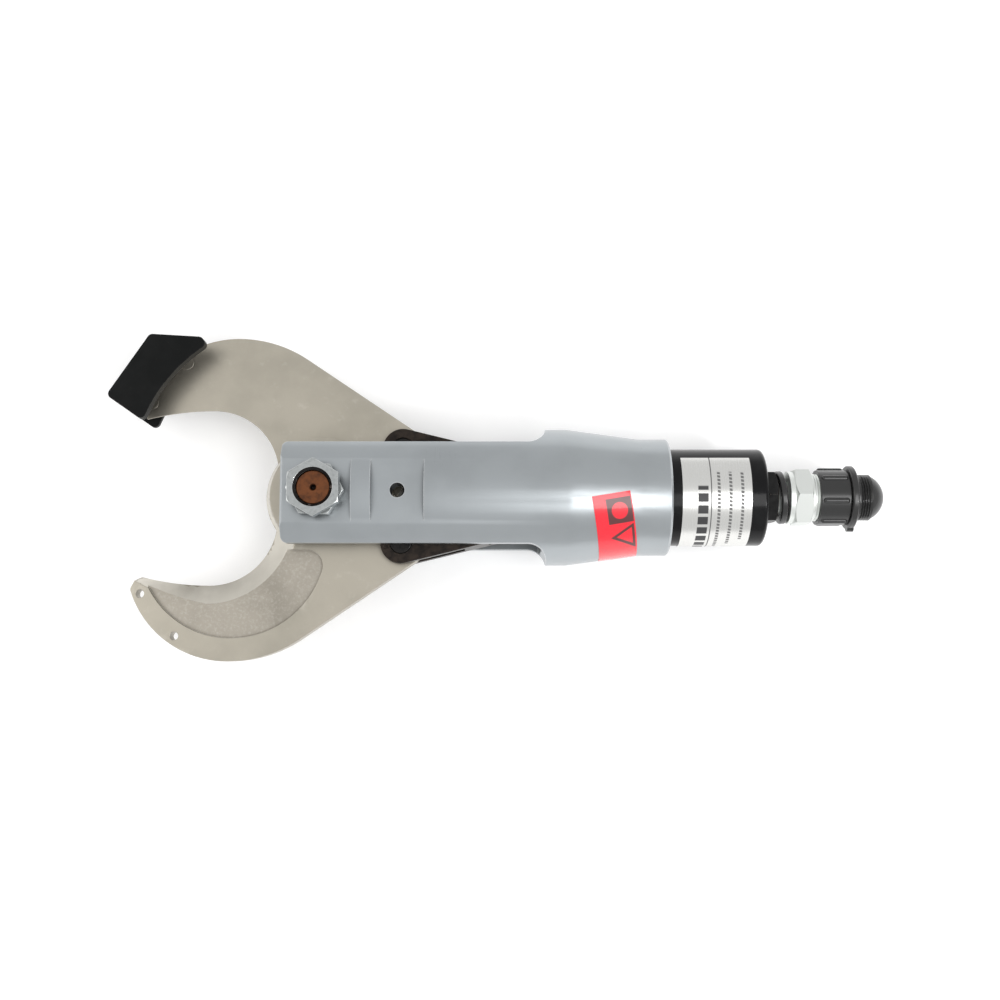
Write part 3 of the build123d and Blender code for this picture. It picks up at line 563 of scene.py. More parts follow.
@dataclass(frozen=True)
class RuledPlate(Finish):
    """Brushed foil plate with plain ruled marks in two columns."""

    start: float = 0.0
    length: float = 0.0375
    colour: Colour = (0.70, 0.70, 0.68)
    shaded: Colour = (0.55, 0.55, 0.54)
    ink: Colour = (0.03, 0.03, 0.032)
    divider: tuple[float, float] = (0.405, 0.42)
    block_column: tuple[float, float] = (0.22, 0.37)
    block_arc: tuple[float, float] = (-1.75, 0.12)
    line_starts: tuple[float, ...] = (0.5, 0.67, 0.84)
    line_ends: tuple[float, ...] = (-1.5, -1.3, -1.1)
    line_width: float = 0.045
    line_top: float = 0.42

    def dress(self, graph: Graph) -> None:
        """Brushing round the barrel, a divider, a row of blocks and three dashed lines."""
        x, y, z = graph.axes()
        along = (x - self.start) / self.length
        angle = y.math("ARCTAN2", z)
        brush = graph.noise(1.0, 3.0, 0.6, graph.stretched((9000.0, 160.0, 160.0)))
        cloud = graph.noise(80.0, 3.0)
        soft = 0.006
        marks = along.within(*self.divider, soft)
        step = (angle * 4.2).math("FRACT")
        blocks = along.within(*self.block_column, soft) * angle.within(*self.block_arc, 0.02)
        marks = marks.math("MAXIMUM", blocks * step.within(0.14, 0.86, 0.02))
        dash = (angle * 13.0 + x * 90.0).math("FRACT").within(0.1, 0.8, 0.05)
        for left, low in zip(self.line_starts, self.line_ends):
            column = along.within(left, left + self.line_width, soft)
            line = column * angle.within(low, self.line_top, 0.03) * dash
            marks = marks.math("MAXIMUM", line * 0.85)
        base = graph.blend(self.colour, self.shaded, (brush - 0.5) * 0.8 + cloud * 0.3)
        base = graph.blend(base, self.ink, marks)
        rough = 0.25 + (brush - 0.5) * 0.2 + marks * 0.2
        relief = graph.bump(brush * 0.6 - marks * 0.4, 0.00003, 0.5)
        graph.feed(Base_Color=base, Roughness=rough, Metallic=1.0 - marks * 0.9, Normal=relief)


@dataclass(frozen=True)
class RedFilm(Finish):
    """Glossy red film with a plain dark square and an open triangle, marks in millimetres."""

    centre: float = 0.0
    lean: float = 10.0
    colour: Colour = (0.86, 0.006, 0.022)
    shaded: Colour = (0.66, 0.004, 0.02)
    ink: Colour = (0.045, 0.012, 0.012)
    half_square: float = 6.8
    square_place: tuple[float, float] = (-17.6, -4.2)
    disc_middle: float = 11.0
    disc_radius: float = 4.2
    disc_edge: float = 0.4
    line_width: float = 1.4
    tip: float = 6.6
    tip_share: float = 2.2
    base: float = 6.7
    base_edge: float = 0.3
    slope: float = 0.46
    triangle_middle: float = 24.4

    def dress(self, graph: Graph) -> None:
        """Red film, a square with a disc, an open triangle, a slight ripple."""
        x, y, _ = graph.axes()
        cosine, sine = math.cos(math.radians(self.lean)), math.sin(math.radians(self.lean))
        across = ((x - self.centre) * cosine + y * sine) * 1000.0
        down = (y * cosine - (x - self.centre) * sine) * 1000.0
        soft = 0.18
        square = across.within(-self.half_square, self.half_square, soft)
        square = square * down.within(*self.square_place, soft)
        fall = down + self.disc_middle
        disc = (across * across + fall * fall).math("SQRT")
        square = square * disc.rise(self.disc_radius, self.disc_radius + self.disc_edge)
        outer = self.triangle(across, down, 0.0)
        inner = self.triangle(across, down, self.line_width)
        marks = square.math("MAXIMUM", outer * (1.0 - inner))
        ripple = graph.noise(90.0, 3.0)
        grain = graph.noise(2800.0, 2.0)
        base = graph.blend(self.colour, self.shaded, ripple.rise(0.35, 0.7))
        base = graph.blend(base, self.ink, marks * 0.95)
        rough = 0.24 + (ripple - 0.5) * 0.12 + (grain - 0.5) * 0.06 + marks * 0.08
        relief = graph.bump(ripple * 0.8 + grain * 0.2, 0.00006, 0.35)
        graph.feed(Base_Color=base, Roughness=rough, Normal=relief, Coat_Weight=0.5)

    def triangle(self, across: Term, down: Term, inset: float) -> Term:
        """Mask of a triangle that points to the jaws, its sides moved in by inset millimetres."""
        reach = across + self.tip - inset * self.tip_share
        middle = (down + self.triangle_middle).math("ABSOLUTE")
        sides = (reach * self.slope - middle).rise(-0.1, 0.1)
        return sides * across.rise(self.base - inset, self.base - self.base_edge - inset)


@dataclass(frozen=True)
class TableTop(Finish):
    """Pale matt table."""

    colour: Colour = (0.93, 0.93, 0.93)
    shaded: Colour = (0.915, 0.915, 0.918)
    glow: float = 0.16

    def dress(self, graph: Graph) -> None:
        """Almost even white with the faintest paper grain."""
        fibre = graph.noise(60.0, 4.0)
        base = graph.blend(self.colour, self.shaded, fibre.rise(0.3, 0.7))
        rough = 0.75 + (fibre - 0.5) * 0.1
        graph.feed(
            Base_Color=base,
            Roughness=rough,
            Specular_IOR_Level=0.1,
            Emission_Color=base,
            Emission_Strength=self.glow,
        )


ALLOY = SatinAlloy("satin_alloy")
BLADE = ToolSteel("blade_plating")
BLADE_GROUND = ToolSteel(
    "blade_ground_bevel", Grain.GROUND, (0.66, 0.63, 0.56), (0.56, 0.53, 0.47)
)
BLADE_MILLED = ToolSteel(
    "blade_milled_pocket", Grain.MILLED, (0.37, 0.342, 0.295), (0.30, 0.277, 0.236)
)
ZINC = Plating("bright_zinc")
COUPLER_ZINC = Plating("coupler_zinc", (0.30, 0.325, 0.305), (0.19, 0.21, 0.195), 0.3, 1600.0)
LINK_OXIDE = OxideSteel("link_oxide")
PIN_OXIDE = OxideSteel(
    "pin_oxide", (0.020, 0.018, 0.017), (0.008, 0.008, 0.008), (0.5, 0.5, 0.48), 0.3, rub=0.9
)
ADAPTER_OXIDE = OxideSteel("adapter_oxide", (0.016, 0.016, 0.016), (0.008, 0.008, 0.008))
BARREL_PAINT = GlossPaint("barrel_paint")
CAP_PLASTIC = MouldedPlastic("cap_plastic")
GUARD_COAT = PowderCoat("guard_coat")
GUARD_EDGE = PowderCoat(
    "guard_cut_edge", (0.022, 0.022, 0.020), (0.036, 0.035, 0.032), (0.10, 0.095, 0.09)
)
HARD_STEEL = TurnedMetal("hard_steel")
CHROME = TurnedMetal("rod_chrome", (0.78, 0.78, 0.8), 0.08)
BRONZE = TurnedMetal("guide_bronze", (0.52, 0.33, 0.14), 0.3)
SPRING_WIRE = TurnedMetal("spring_wire", (0.16, 0.16, 0.18), 0.35, (900.0, 900.0, 900.0))
FILLED_PLASTIC = SealPolymer("filled_plastic", (0.16, 0.085, 0.04), 0.5)
RUBBER = SealPolymer("seal_rubber")
TABLE = TableTop("table_top")


# ---- mesh work ----------------------------------------------------------------------------


class Shape:
    """A closed mesh being worked on, in the row frame."""

    def __init__(self) -> None:
        """Starts with nothing."""
        self.mesh = bmesh.new()

    @classmethod
    def of_node(cls, node: bpy.types.Object, flat: float = 0.4) -> "Shape":
        """Copies a frame node, welds it and joins facets that are less than flat degrees apart."""
        shape = cls()
        shape.mesh.from_mesh(node.data)
        bmesh.ops.remove_doubles(shape.mesh, verts=shape.mesh.verts, dist=WELD)
        bmesh.ops.dissolve_limit(
            shape.mesh,
            angle_limit=math.radians(flat),
            verts=shape.mesh.verts,
            edges=shape.mesh.edges,
        )
        return shape

    @classmethod
    def lathe(
        cls,
        profile: Sequence[tuple[float, float]],
        steps: int = LATHE_STEPS,
        thread: "Thread | None" = None,
    ) -> "Shape":
        """Turns a profile about the X axis.

        Args:
            profile: Pairs of place along X and radius, from axis to axis or closed by radius 0.
            steps: Facets round the axis.
            thread: A helical thread cut into the profile.

        Returns:
            The turned solid.
        """
        shape = cls()
        rings = []
        for x, radius in profile:
            if radius <= 0:
                rings.append([shape.mesh.verts.new((x, 0, 0))])
                continue
            ring = []
            for step in range(steps):
                turn = step / steps
                cut = thread.depth_at(x, turn) if thread else 0.0
                angle = math.tau * turn
                reach = radius - cut
                ring.append(
                    shape.mesh.verts.new((x, reach * math.sin(angle), reach * math.cos(angle)))
                )
            rings.append(ring)
        for first, second in zip(rings, rings[1:]):
            for step in range(steps):
                corners = [
                    first[step % len(first)],
                    first[(step + 1) % len(first)],
                    second[(step + 1) % len(second)],
                    second[step % len(second)],
                ]
                face = list(dict.fromkeys(corners))
                if len(face) > 2:
                    shape.mesh.faces.new(face)
        bmesh.ops.recalc_face_normals(shape.mesh, faces=shape.mesh.faces)
        return shape

    @classmethod
    def bar(
        cls, start: Vector, end: Vector, radius: float, steps: int = 48, tip: float = 0.0
    ) -> "Shape":
        """Round bar between two points.

        Args:
            start: The middle of one end.
            end: The middle of the other.
            radius: The bar's radius at its start.
            steps: Facets round the bar.
            tip: How much wider the bar is at its end.

        Returns:
            The bar.
        """
        shape = cls()
        axis = end - start
        turn = axis.to_track_quat("Z", "Y").to_matrix().to_4x4()
        bmesh.ops.create_cone(
            shape.mesh,
            cap_ends=True,
            segments=steps,
            radius1=radius,
            radius2=radius + tip,
            depth=axis.length,
            matrix=Matrix.Translation((start + end) / 2) @ turn,
        )
        return shape

    @classmethod
    def capsule(cls, start: Vector, end: Vector, radius: float) -> "Shape":
        """Bar along X with round ends that are centred on two points."""
        shape = cls()
        turn = Matrix.Rotation(math.pi / 2, 4, "Y")
        bmesh.ops.create_uvsphere(
            shape.mesh, u_segments=24, v_segments=14, radius=radius, matrix=turn
        )
        for vert in shape.mesh.verts:
            vert.co += end if vert.co.x > 0 else start
        return shape

    @classmethod
    def coil(cls, start: float, end: float, radius: float, wire: float, turns: int) -> "Shape":
        """Winds a wire round the X axis.

        Args:
            start: Where the wire's middle starts along X.
            end: Where it ends.
            radius: The radius of the wire's middle.
            wire: The wire's own radius.
            turns: How many turns it makes.

        Returns:
            The spring.
        """
        shape = cls()
        sides, steps = 16, 48 * turns
        rings = []
        for step in range(steps + 1):
            share = step / steps
            angle = math.tau * turns * share
            out = Vector((0.0, math.cos(angle), math.sin(angle)))
            middle = out * radius + Vector((start + (end - start) * share, 0.0, 0.0))
            across = Vector((1.0, 0.0, 0.0))
            turned = [math.tau * side / sides for side in range(sides)]
            rings.append(
                [
                    shape.mesh.verts.new(middle + (out * math.cos(t) + across * math.sin(t)) * wire)
                    for t in turned
                ]
            )
        for first, second in zip(rings, rings[1:]):
            for side in range(sides):
                other = (side + 1) % sides
                shape.mesh.faces.new((first[side], first[other], second[other], second[side]))
        shape.mesh.faces.new(rings[0])
        shape.mesh.faces.new(rings[-1])
        bmesh.ops.recalc_face_normals(shape.mesh, faces=shape.mesh.faces)
        return shape

    def bevel(self, width: float, segments: int = 2, angle: float = 28.0) -> "Shape":
        """Rounds the edges that are sharper than an angle, width metres wide."""
        limit = math.radians(angle)
        sharp = [e for e in self.mesh.edges if len(e.link_faces) == 2 and e.calc_face_angle(0) > limit]
        bmesh.ops.bevel(
            self.mesh,
            geom=sharp,
            offset=width,
            offset_type="OFFSET",
            segments=segments,
            profile=0.5,
            affect="EDGES",
            clamp_overlap=True,
        )
        return self

    def threaded(self, thread: "Thread", radius: float) -> "Shape":
        """Cuts a thread into the round surface whose crests have one radius about the X axis."""
        for place in thread.places():
            geometry = [*self.mesh.verts, *self.mesh.edges, *self.mesh.faces]
            plane = {"plane_co": (place, 0.0, 0.0), "plane_no": (1.0, 0.0, 0.0)}
            bmesh.ops.bisect_plane(self.mesh, geom=geometry, dist=MM / 1000.0, **plane)
        for vert in self.mesh.verts:
            reach = math.hypot(vert.co.y, vert.co.z)
            if abs(reach - radius) < FACET_SAG:
                turn = math.atan2(vert.co.z, vert.co.y) / math.tau
                share = 1.0 - thread.depth_at(vert.co.x, turn) / radius
                vert.co.y, vert.co.z = vert.co.y * share, vert.co.z * share
        return self

    def combine(self, other: "Shape", operation: str) -> "Shape":
        """Joins or cuts this shape with another, which is used up, by UNION or DIFFERENCE."""
        ours, theirs = self.as_object("work_a"), other.as_object("work_b")
        modifier = ours.modifiers.new("join", "BOOLEAN")
        modifier.object, modifier.operation, modifier.solver = theirs, operation, "EXACT"
        bpy.context.view_layer.update()
        result = ours.evaluated_get(bpy.context.evaluated_depsgraph_get())
        self.mesh = bmesh.new()
        self.mesh.from_mesh(result.to_mesh())
        for work in (ours, theirs):
            data = work.data
            bpy.data.objects.remove(work)
            bpy.data.meshes.remove(data)
        bmesh.ops.remove_doubles(self.mesh, verts=self.mesh.verts, dist=WELD)
        return self

    def as_object(self, name: str) -> bpy.types.Object:
        """Puts the mesh into the scene as an object, and lets go of it."""
        data = bpy.data.meshes.new(name)
        self.mesh.to_mesh(data)
        self.mesh.free()
        made = bpy.data.objects.new(name, data)
        bpy.context.scene.collection.objects.link(made)
        return made

    def piece(
        self,
        name: str,
        body: Body,
        finishes: Sequence[Finish],
        nodes: Sequence[str] = (),
        slot: str = "",
        choose: Callable[[Vector, Vector], int] | None = None,
    ) -> bpy.types.Object:
        """Makes the shape a finished piece.

        Args:
            name: The piece's name.
            body: The body that it rides on.
            finishes: Its finishes, the plain one first.
            nodes: The frame nodes that it stands for.
            slot: The record's material slot; not used.
            choose: Picks a finish from a face's middle and normal.

        Returns:
            The piece.
        """
        for face in self.mesh.faces:
            face.smooth = True
            if choose:
                face.material_index = choose(face.calc_center_median(), face.normal)
        made = self.as_object(name)
        for finish in finishes:
            made.data.materials.append(finish.material())
        made.data.set_sharp_from_angle(angle=math.radians(SHARP))
        weighted = made.modifiers.new("even_shading", "WEIGHTED_NORMAL")
        weighted.keep_sharp = True
        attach(made, body.value)
        if nodes:
            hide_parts(*nodes)
        log.info("piece %s on %s: %d faces", name, body.value, len(made.data.polygons))
        return made


@dataclass(frozen=True)
class Thread:
    """A helical thread with rounded crests."""

    start: float
    end: float
    pitch: float
    depth: float

    def depth_at(self, x: float, turn: float) -> float:
        """How deep the thread is cut.

        Args:
            x: Place along the axis.
            turn: Share of a full turn about it.

        Returns:
            The depth in metres, which fades out at both ends of the thread.
        """
        if not self.start < x < self.end:
            return 0.0
        phase = (x / self.pitch + turn) % 1.0
        wave = 0.5 - 0.5 * math.cos(math.tau * phase)
        run_in = min(1.0, (x - self.start) / self.pitch, (self.end - x) / self.pitch)
        return self.depth * wave * run_in

    def places(self, steps: int = 8) -> list[float]:
        """Places along the thread, steps to each pitch."""
        count = round((self.end - self.start) / self.pitch * steps)
        return [self.start + (self.end - self.start) * index / count for index in range(count + 1)]


@dataclass
class SubAssembly:
    """A group of pieces built from the frame's nodes, moved by its joints."""

    nodes: dict[str, bpy.types.Object]
    joints: dict[str, dict]

    def refine(
        self,
        node: str,
        body: Body,
        finishes: Sequence[Finish],
        slot: str,
        bevel: float = 0.3,
        choose: Callable[[Vector, Vector], int] | None = None,
    ) -> bpy.types.Object:
        """Replaces a node by the same shape with rounded edges.

        Args:
            node: The frame node.
            body: The body that it rides on.
            finishes: Its finishes.
            slot: The record's material slot.
            bevel: The rounding in millimetres.
            choose: Picks a finish from a face's middle and normal.

        Returns:
            The piece.
        """
        shape = Shape.of_node(self.nodes[node]).bevel(bevel * MM)
        return shape.piece(f"{node}_fine", body, finishes, (node,), slot, choose)

    def wind(self, node: str, wire: float, turns: int, slot: str, joint: str) -> None:
        """Replaces a spring's node by a wound coil.

        Args:
            node: The spring's frame node.
            wire: The wire's radius in metres.
            turns: How many turns it has.
            slot: The record's material slot.
            joint: The slide that presses it together towards its low end; not used.
        """
        low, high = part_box(node)
        middle = (high.z - low.z) / 2 - wire
        shape = Shape.coil(low.x + wire, high.x - wire, middle, wire, turns)
        spring = shape.piece(f"{node}_fine", Body.ROOT, (SPRING_WIRE,), (node,), slot)
        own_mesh(spring)

    def dress(self, finish: Finish, *names: str) -> None:
        """Gives carried-over frame nodes a finish."""
        for name in names:
            data = self.nodes[name].data
            data.materials.clear()
            data.materials.append(finish.material())
            log.info("node %s keeps its mesh, finish %s", name, finish.name)


# ---- sub-assemblies -----------------------------------------------------------------------


@dataclass
class ForkBody(SubAssembly):
    """The light alloy fork with its milled flats."""

    edge: float = 0.35

    def build(self) -> None:
        """Builds the body and its two labels."""
        self.refine("fork_body", Body.ROOT, (ALLOY,), "body_alloy", self.edge)
        low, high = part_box("red_label")
        film = RedFilm("red_film", centre=(low.x + high.x) / 2)
        self.dress(film, "red_label")
        low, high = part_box("nameplate")
        self.dress(RuledPlate("ruled_plate", low.x, high.x - low.x), "nameplate")


@dataclass
class Blades(SubAssembly):
    """The pair of hooked blades."""

    edge: float = 0.25
    pocket_floor: float = 8.6
    bevel_tilt: tuple[float, float] = (0.28, 0.93)
    bevel_heights: tuple[float, float] = (1.5, 10.6)
    flat_tilt: float = 0.97
    near: float = 0.1

    def choose(self, middle: Vector, normal: Vector) -> int:
        """Picks plating, the ground bevel or the milled pocket by a face's middle and normal."""
        tilt, height = abs(normal.z), abs(middle.z) / MM
        flattest, steepest = self.bevel_tilt
        lowest, highest = self.bevel_heights
        if flattest < tilt < steepest and lowest < height < highest:
            return 1
        if tilt > self.flat_tilt and abs(height - self.pocket_floor) < self.near:
            return 2
        return 0

    def build(self) -> None:
        """Builds both blades."""
        finishes = (BLADE, BLADE_GROUND, BLADE_MILLED)
        for side, body in (("lower", Body.LOWER_JAW), ("upper", Body.UPPER_JAW)):
            self.refine(f"{side}_blade", body, finishes, "blade_steel", self.edge, self.choose)


@dataclass
class PivotJoint(SubAssembly):
    """Bolt, bush, spacers and the two nuts."""

    edge: float = 0.3
    mouth: float = 1.5
    bush_wall: float = 3.0

    def build_nut(self, node: str) -> None:
        """Builds the nut of a frame node, with a turned mouth to its thread."""
        low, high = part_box(node)
        middle = (low + high) / 2
        bush_low, bush_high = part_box("pivot_bush")
        hole = (bush_high.x - bush_low.x) / 2 - self.bush_wall * MM
        depth = (self.mouth + self.edge) * MM
        top = Vector((middle.x, middle.y, high.z + self.edge * MM))
        foot = top - Vector((0, 0, depth))
        cutter = Shape.bar(foot, top, hole, LATHE_STEPS, depth)
        shape = Shape.of_node(self.nodes[node]).combine(cutter, "DIFFERENCE")
        rim = hole + self.mouth * MM / 2

        def choose(place: Vector, normal: Vector) -> int:
            """Picks dark oxide for the mouth's faces, as painted shade inside the mouth, and plating
            for the rest.
            """
            return 1 if (place - middle).xy.length < rim and normal.z < LEVEL else 0

        shape.bevel(self.edge * MM)
        # the mouth's dark oxide finish is painted shade inside the nut's mouth
        shape.piece(f"{node}_fine", Body.ROOT, (ZINC, PIN_OXIDE), (node,), "zinc_steel", choose)

    def build(self) -> None:
        """Builds the joint's pieces."""
        low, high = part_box("pivot_bolt")
        brown = TurnedOxide("bolt_brown", centre=(low.x + high.x) / 2)
        self.refine("pivot_bolt", Body.ROOT, (brown,), "bolt_steel", self.edge)
        self.refine("pivot_jam_nut", Body.ROOT, (ZINC,), "zinc_steel", self.edge)
        self.build_nut("pivot_lock_nut")
        self.dress(HARD_STEEL, "pivot_bush", "thrust_spacers")


@dataclass
class Linkage(SubAssembly):
    """The two forked links and their pins."""

    edge: float = 0.5
    dimple: float = 1.4
    dimple_back: float = 8.0
    dimple_aside: float = 2.2
    dimple_floor: float = 0.46
    dimple_facets: int = 32

    def build(self) -> None:
        """Builds links and pins."""
        for side, link_body, jaw in (
            ("lower", Body.LOWER_LINK, Body.LOWER_JAW),
            ("upper", Body.UPPER_LINK, Body.UPPER_JAW),
        ):
            self.build_link(f"{side}_link", f"{side}_link_pin", link_body)
            self.refine(f"{side}_link_pin", jaw, (PIN_OXIDE,), "pin_steel", self.edge / 2)

    def build_link(self, node: str, pin: str, body: Body) -> None:
        """Builds a link with a small dimple beside the pin at its jaw end."""
        low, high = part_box(pin)
        middle = (low + high) / 2
        shape = Shape.of_node(self.nodes[node])
        for face in (1, -1):
            start = middle - Vector((self.dimple_back * MM, self.dimple_aside * MM, 0))
            end = start + Vector((0, 0, face * (high.z - low.z)))
            floor = start.lerp(end, self.dimple_floor)
            shape.combine(Shape.bar(floor, end, self.dimple * MM, self.dimple_facets), "DIFFERENCE")
        shape.bevel(self.edge * MM, 3)
        shape.piece(f"{node}_fine", body, (LINK_OXIDE,), (node,), "link_steel")


@dataclass
class Ram(SubAssembly):
    """Crosshead, rod, piston and their seals."""

    def build(self) -> None:
        """Builds the ram."""
        self.refine("crosshead", Body.RAM, (HARD_STEEL,), "hard_steel")
        self.refine("piston", Body.RAM, (HARD_STEEL,), "hard_steel", 0.15)
        self.refine("piston_nut", Body.RAM, (ZINC,), "zinc_steel")
        self.dress(HARD_STEEL, "ram_pins")
        self.dress(CHROME, "ram_rod")
        self.dress(FILLED_PLASTIC, "wear_ring", "backup_ring")
        self.dress(RUBBER, "piston_seal")


@dataclass
class Cylinder(SubAssembly):
    """Barrel, rod guide and return spring."""

    spring_turns: int = 6
    spring_wire: float = 1.6

    def build(self) -> None:
        """Builds the cylinder."""
        self.refine("cylinder_barrel", Body.ROOT, (BARREL_PAINT,), "barrel_black", 0.3)
        self.refine("barrel_set_screw", Body.ROOT, (PIN_OXIDE,), "pin_steel", 0.15)
        self.dress(BRONZE, "rod_guide")
        self.dress(RUBBER, "rod_wiper")
        self.dress(HARD_STEEL, "spring_seat")
        wire, turns = self.spring_wire * MM, self.spring_turns
        self.wind("return_spring", wire, turns, "spring_steel", "ram_push")


@dataclass
class HoseCoupling(SubAssembly):
    """Adapter, washer and the quick coupler with its valve."""

    valve_wire: float = 0.6
    valve_turns: int = 4
    pitch: float = 1.5
    depth: float = 0.7
    nose_radius: float = 13.3
    nose_length: float = 19.2
    run_out: float = 1.2
    edge: float = 0.25

    def build(self) -> None:
        """Builds the coupling."""
        self.refine("port_adapter", Body.ROOT, (ADAPTER_OXIDE,), "adapter_black", 0.3)
        self.dress(BRONZE, "adapter_washer")
        self.build_coupler()
        self.refine("valve_poppet", Body.VALVE, (COUPLER_ZINC,), "coupler_zinc", 0.15)
        wire, turns = self.valve_wire * MM, self.valve_turns
        self.wind("valve_spring", wire, turns, "spring_steel", "valve_open")

    def build_coupler(self) -> None:
        """Builds the coupler with the thread on its nose."""
        radius = self.nose_radius * MM
        start = -(self.nose_length - self.run_out) * MM
        thread = Thread(start, -self.run_out * MM, self.pitch * MM, self.depth * MM)
        shape = Shape.of_node(self.nodes["coupler_body"]).bevel(self.edge * MM)
        shape.threaded(thread, radius)
        shape.piece(
            "coupler_body_fine", Body.ROOT, (COUPLER_ZINC,), ("coupler_body",), "coupler_zinc"
        )


@dataclass
class DustCap(SubAssembly):
    """The screw cap and the two rings of its strap, in millimetres."""

    front: float = -15.3
    groove: float = 1.5
    shoulder: float = 14.0
    tip: float = 22.5
    seat: float = 0.95
    bore: float = 13.4
    sleeve: float = 15.4
    neck: float = 12.9
    dome: float = 13.3
    edge: float = 0.5
    ribs: int = 7
    rib_radius: float = 1.7
    rib_height: float = 1.3
    rib_inset: float = 1.0
    pitch: float = 1.4
    depth: float = 0.75
    turns: int = 5
    facets: int = 120
    dome_steps: int = 14

    def profile(self, thread: Thread) -> list[tuple[float, float]]:
        """The cap's half section with the thread's places on its neck.

        Args:
            thread: The thread, in metres.

        Returns:
            Pairs of place along the axis and radius, in metres.
        """
        ease = self.edge * 0.3
        corners = [
            (self.seat, 0.0),
            (self.seat, self.bore),
            (self.front, self.bore),
            (self.front, self.sleeve - self.edge),
            (self.front + ease, self.sleeve - ease),
            (self.front + self.edge, self.sleeve),
            (self.groove - self.edge, self.sleeve),
            (self.groove - ease, self.sleeve - ease),
            (self.groove, self.sleeve - self.edge),
            (self.groove, self.neck),
        ]
        corners += [(place / MM, self.neck) for place in thread.places(10)]
        middle = self.tip - self.dome
        start = math.acos((self.shoulder - middle) / self.dome)
        for step in range(self.dome_steps):
            angle = start * (1 - step / self.dome_steps)
            corners.append((middle + self.dome * math.cos(angle), self.dome * math.sin(angle)))
        corners.append((self.tip, 0.0))
        return [(x * MM, radius * MM) for x, radius in corners]

    def build_cap(self) -> None:
        """Builds the cap with its grip ribs and the thread on its neck."""
        start = self.shoulder - self.turns * self.pitch
        thread = Thread(start * MM, self.shoulder * MM, self.pitch * MM, self.depth * MM)
        shape = Shape.lathe(self.profile(thread), self.facets, thread)
        reach = (self.sleeve + self.rib_height - self.rib_radius) * MM
        first = (self.front + self.rib_inset + self.rib_radius) * MM
        last = (self.groove - self.rib_inset - self.rib_radius) * MM
        for index in range(self.ribs):
            angle = math.tau * index / self.ribs
            y, z = reach * math.cos(angle), reach * math.sin(angle)
            rib = Shape.capsule(Vector((first, y, z)), Vector((last, y, z)), self.rib_radius * MM)
            shape.combine(rib, "UNION")
        shape.piece("dust_cap_fine", Body.CAP, (CAP_PLASTIC,), ("dust_cap",), "cap_plastic")

    def build(self) -> None:
        """Builds the cap."""
        self.build_cap()
        self.dress(RUBBER, "cap_gasket")
        self.dress(CAP_PLASTIC, "strap_cap_ring", "strap_neck_ring")


@dataclass
class BladeGuard(SubAssembly):
    """The bent sheet guard at the upper blade's tip, with its screws."""

    edge: float = 0.35
    inner_side: Point = (0.79, -0.61, 0.0)
    most_tilt: float = 0.3
    least_inward: float = 0.6

    def choose(self, _middle: Vector, normal: Vector) -> int:
        """Picks the coating, or the cut edge for the sheet's faces towards the pivot."""
        inward = normal.dot(Vector(self.inner_side))
        return 1 if abs(normal.z) < self.most_tilt and inward > self.least_inward else 0

    def build(self) -> None:
        """Builds the guard."""
        finishes = (GUARD_COAT, GUARD_EDGE)
        self.refine("blade_guard", Body.UPPER_JAW, finishes, "guard_black", self.edge, self.choose)
        self.refine("guard_screws", Body.UPPER_JAW, (BLADE,), "pin_steel", 0.15)
        self.refine("guard_nuts", Body.UPPER_JAW, (PIN_OXIDE,), "pin_steel", 0.2)


# ---- studio -------------------------------------------------------------------------------


@dataclass
class Lamp:
    """A soft box."""

    name: str
    place: Point
    aim: Point
    size: tuple[float, float]
    power: float
    colour: Colour = (1.0, 1.0, 1.0)

    def build(self) -> None:
        """Puts the lamp up, turned to its aim."""
        data = bpy.data.lights.new(self.name, "AREA")
        data.shape = "RECTANGLE"
        data.size, data.size_y = self.size
        data.energy = self.power
        data.color = self.colour
        lamp = bpy.data.objects.new(self.name, data)
        lamp.location = self.place
        direction = Vector(self.aim) - Vector(self.place)
        lamp.rotation_mode = "QUATERNION"
        lamp.rotation_quaternion = direction.to_track_quat("-Z", "Y")
        bpy.context.scene.collection.objects.link(lamp)


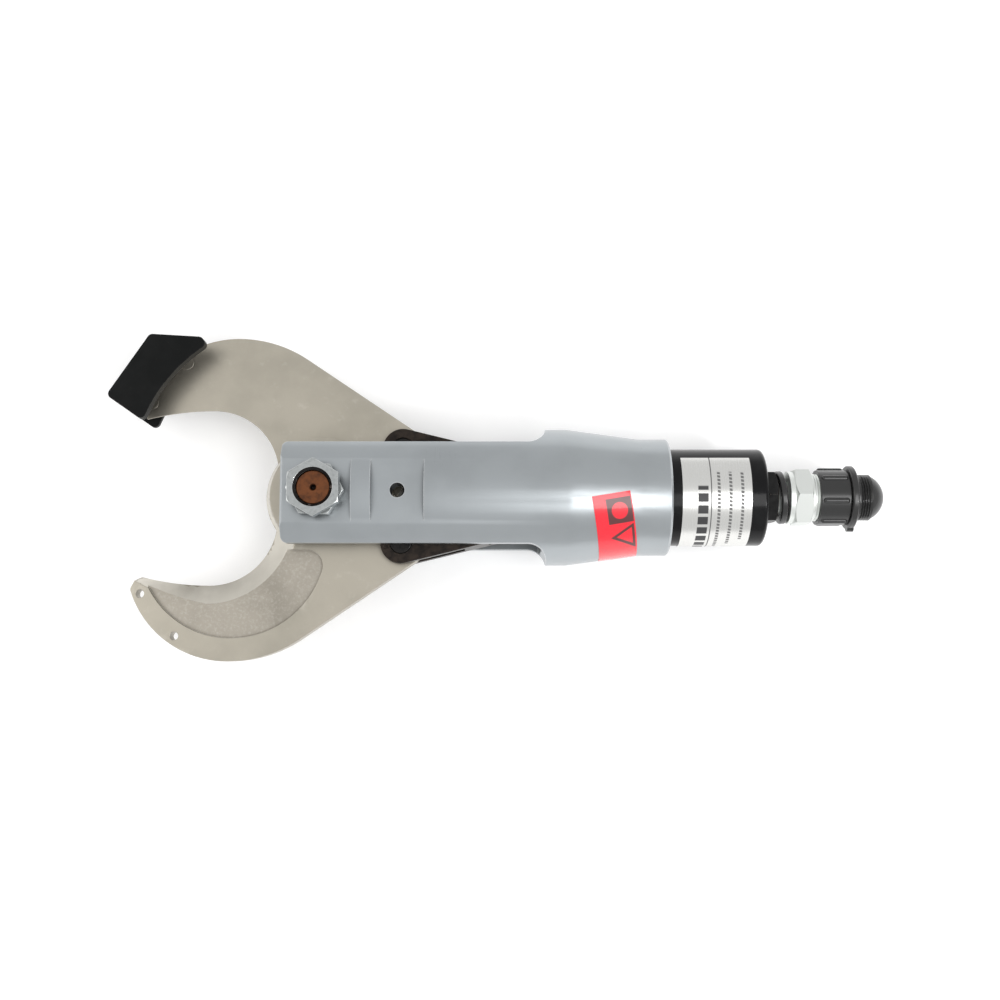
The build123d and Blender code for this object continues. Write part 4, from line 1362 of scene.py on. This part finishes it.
@dataclass
class Studio:
    """Table, lamps, surroundings and camera."""

    target: Point = (-0.1917, -0.0013, 0.0)
    distance: float = 0.728
    tilt: float = 0.12
    half_view: float = 5.0 / 13.0  # tangent of half the field of view
    sensor: float = 36.0
    reach: float = 4.0
    table_gap: float = 0.2
    room_light: float = 0.86

    def build_table(self) -> None:
        """Lays the pale table under the tool."""
        shape = Shape()
        bmesh.ops.create_grid(shape.mesh, x_segments=8, y_segments=8, size=self.reach)
        for vert in shape.mesh.verts:
            vert.co.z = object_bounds()[0].z - self.table_gap * MM
        table = shape.as_object("table")
        table.data.materials.append(TABLE.material())
        table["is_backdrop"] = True

    def build_camera(self) -> None:
        """Hangs the camera over the tool, a little towards the near side."""
        data = bpy.data.cameras.new("camera")
        data.sensor_width = self.sensor
        data.lens = self.sensor / 2 / self.half_view
        data.clip_start, data.clip_end = 0.01, 50.0
        camera = bpy.data.objects.new("camera", data)
        target = Vector(self.target)
        back = Vector((0.0, -math.sin(self.tilt), math.cos(self.tilt)))
        right = Vector((1.0, 0.0, 0.0))
        up = back.cross(right)
        camera.matrix_world = Matrix.Translation(target + back * self.distance) @ Matrix(
            (right, up, back)
        ).transposed().to_4x4()
        bpy.context.scene.collection.objects.link(camera)
        bpy.context.scene.camera = camera

    def build_surroundings(self) -> None:
        """Gives the room an even soft light."""
        world = bpy.data.worlds.new("room")
        bpy.context.scene.world = world
        world.use_nodes = True
        background = world.node_tree.nodes["Background"]
        background.inputs["Color"].default_value = (1.0, 1.0, 1.0, 1.0)
        background.inputs["Strength"].default_value = self.room_light

    def build(self) -> None:
        """Builds the studio."""
        self.build_table()
        self.build_surroundings()
        lamps = (
            Lamp("key_over_sleeve", (0.5, -0.35, 1.5), (0.5, -0.35, 0.0), (0.8, 0.8), 9.0),
            Lamp("jaw_side", (-1.1, 0.1, 0.9), (-0.25, 0.0, 0.0), (0.6, 0.8), 3.0, (1.0, 0.98, 0.95)),
            Lamp("cap_spark", (0.3, -0.22, 0.5), (-0.02, 0.0, 0.0), (0.1, 0.06), 1.1),
        )
        for lamp in lamps:
            lamp.build()
        self.build_camera()
        settings = bpy.context.scene.view_settings
        settings.view_transform = "Standard"
        settings.look = "None"


def main() -> None:
    """Builds the whole scene around the frame."""
    logging.basicConfig(level=logging.INFO, format="%(name)s: %(message)s")
    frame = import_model()
    joints = {joint["name"]: joint for joint in frame["joints"]}
    parts = (ForkBody, Blades, PivotJoint, Linkage, Ram, Cylinder, HoseCoupling, DustCap, BladeGuard)
    for part in parts:
        part(frame["nodes"], joints).build()
    Studio().build()


if __name__ == "__main__":
    main()
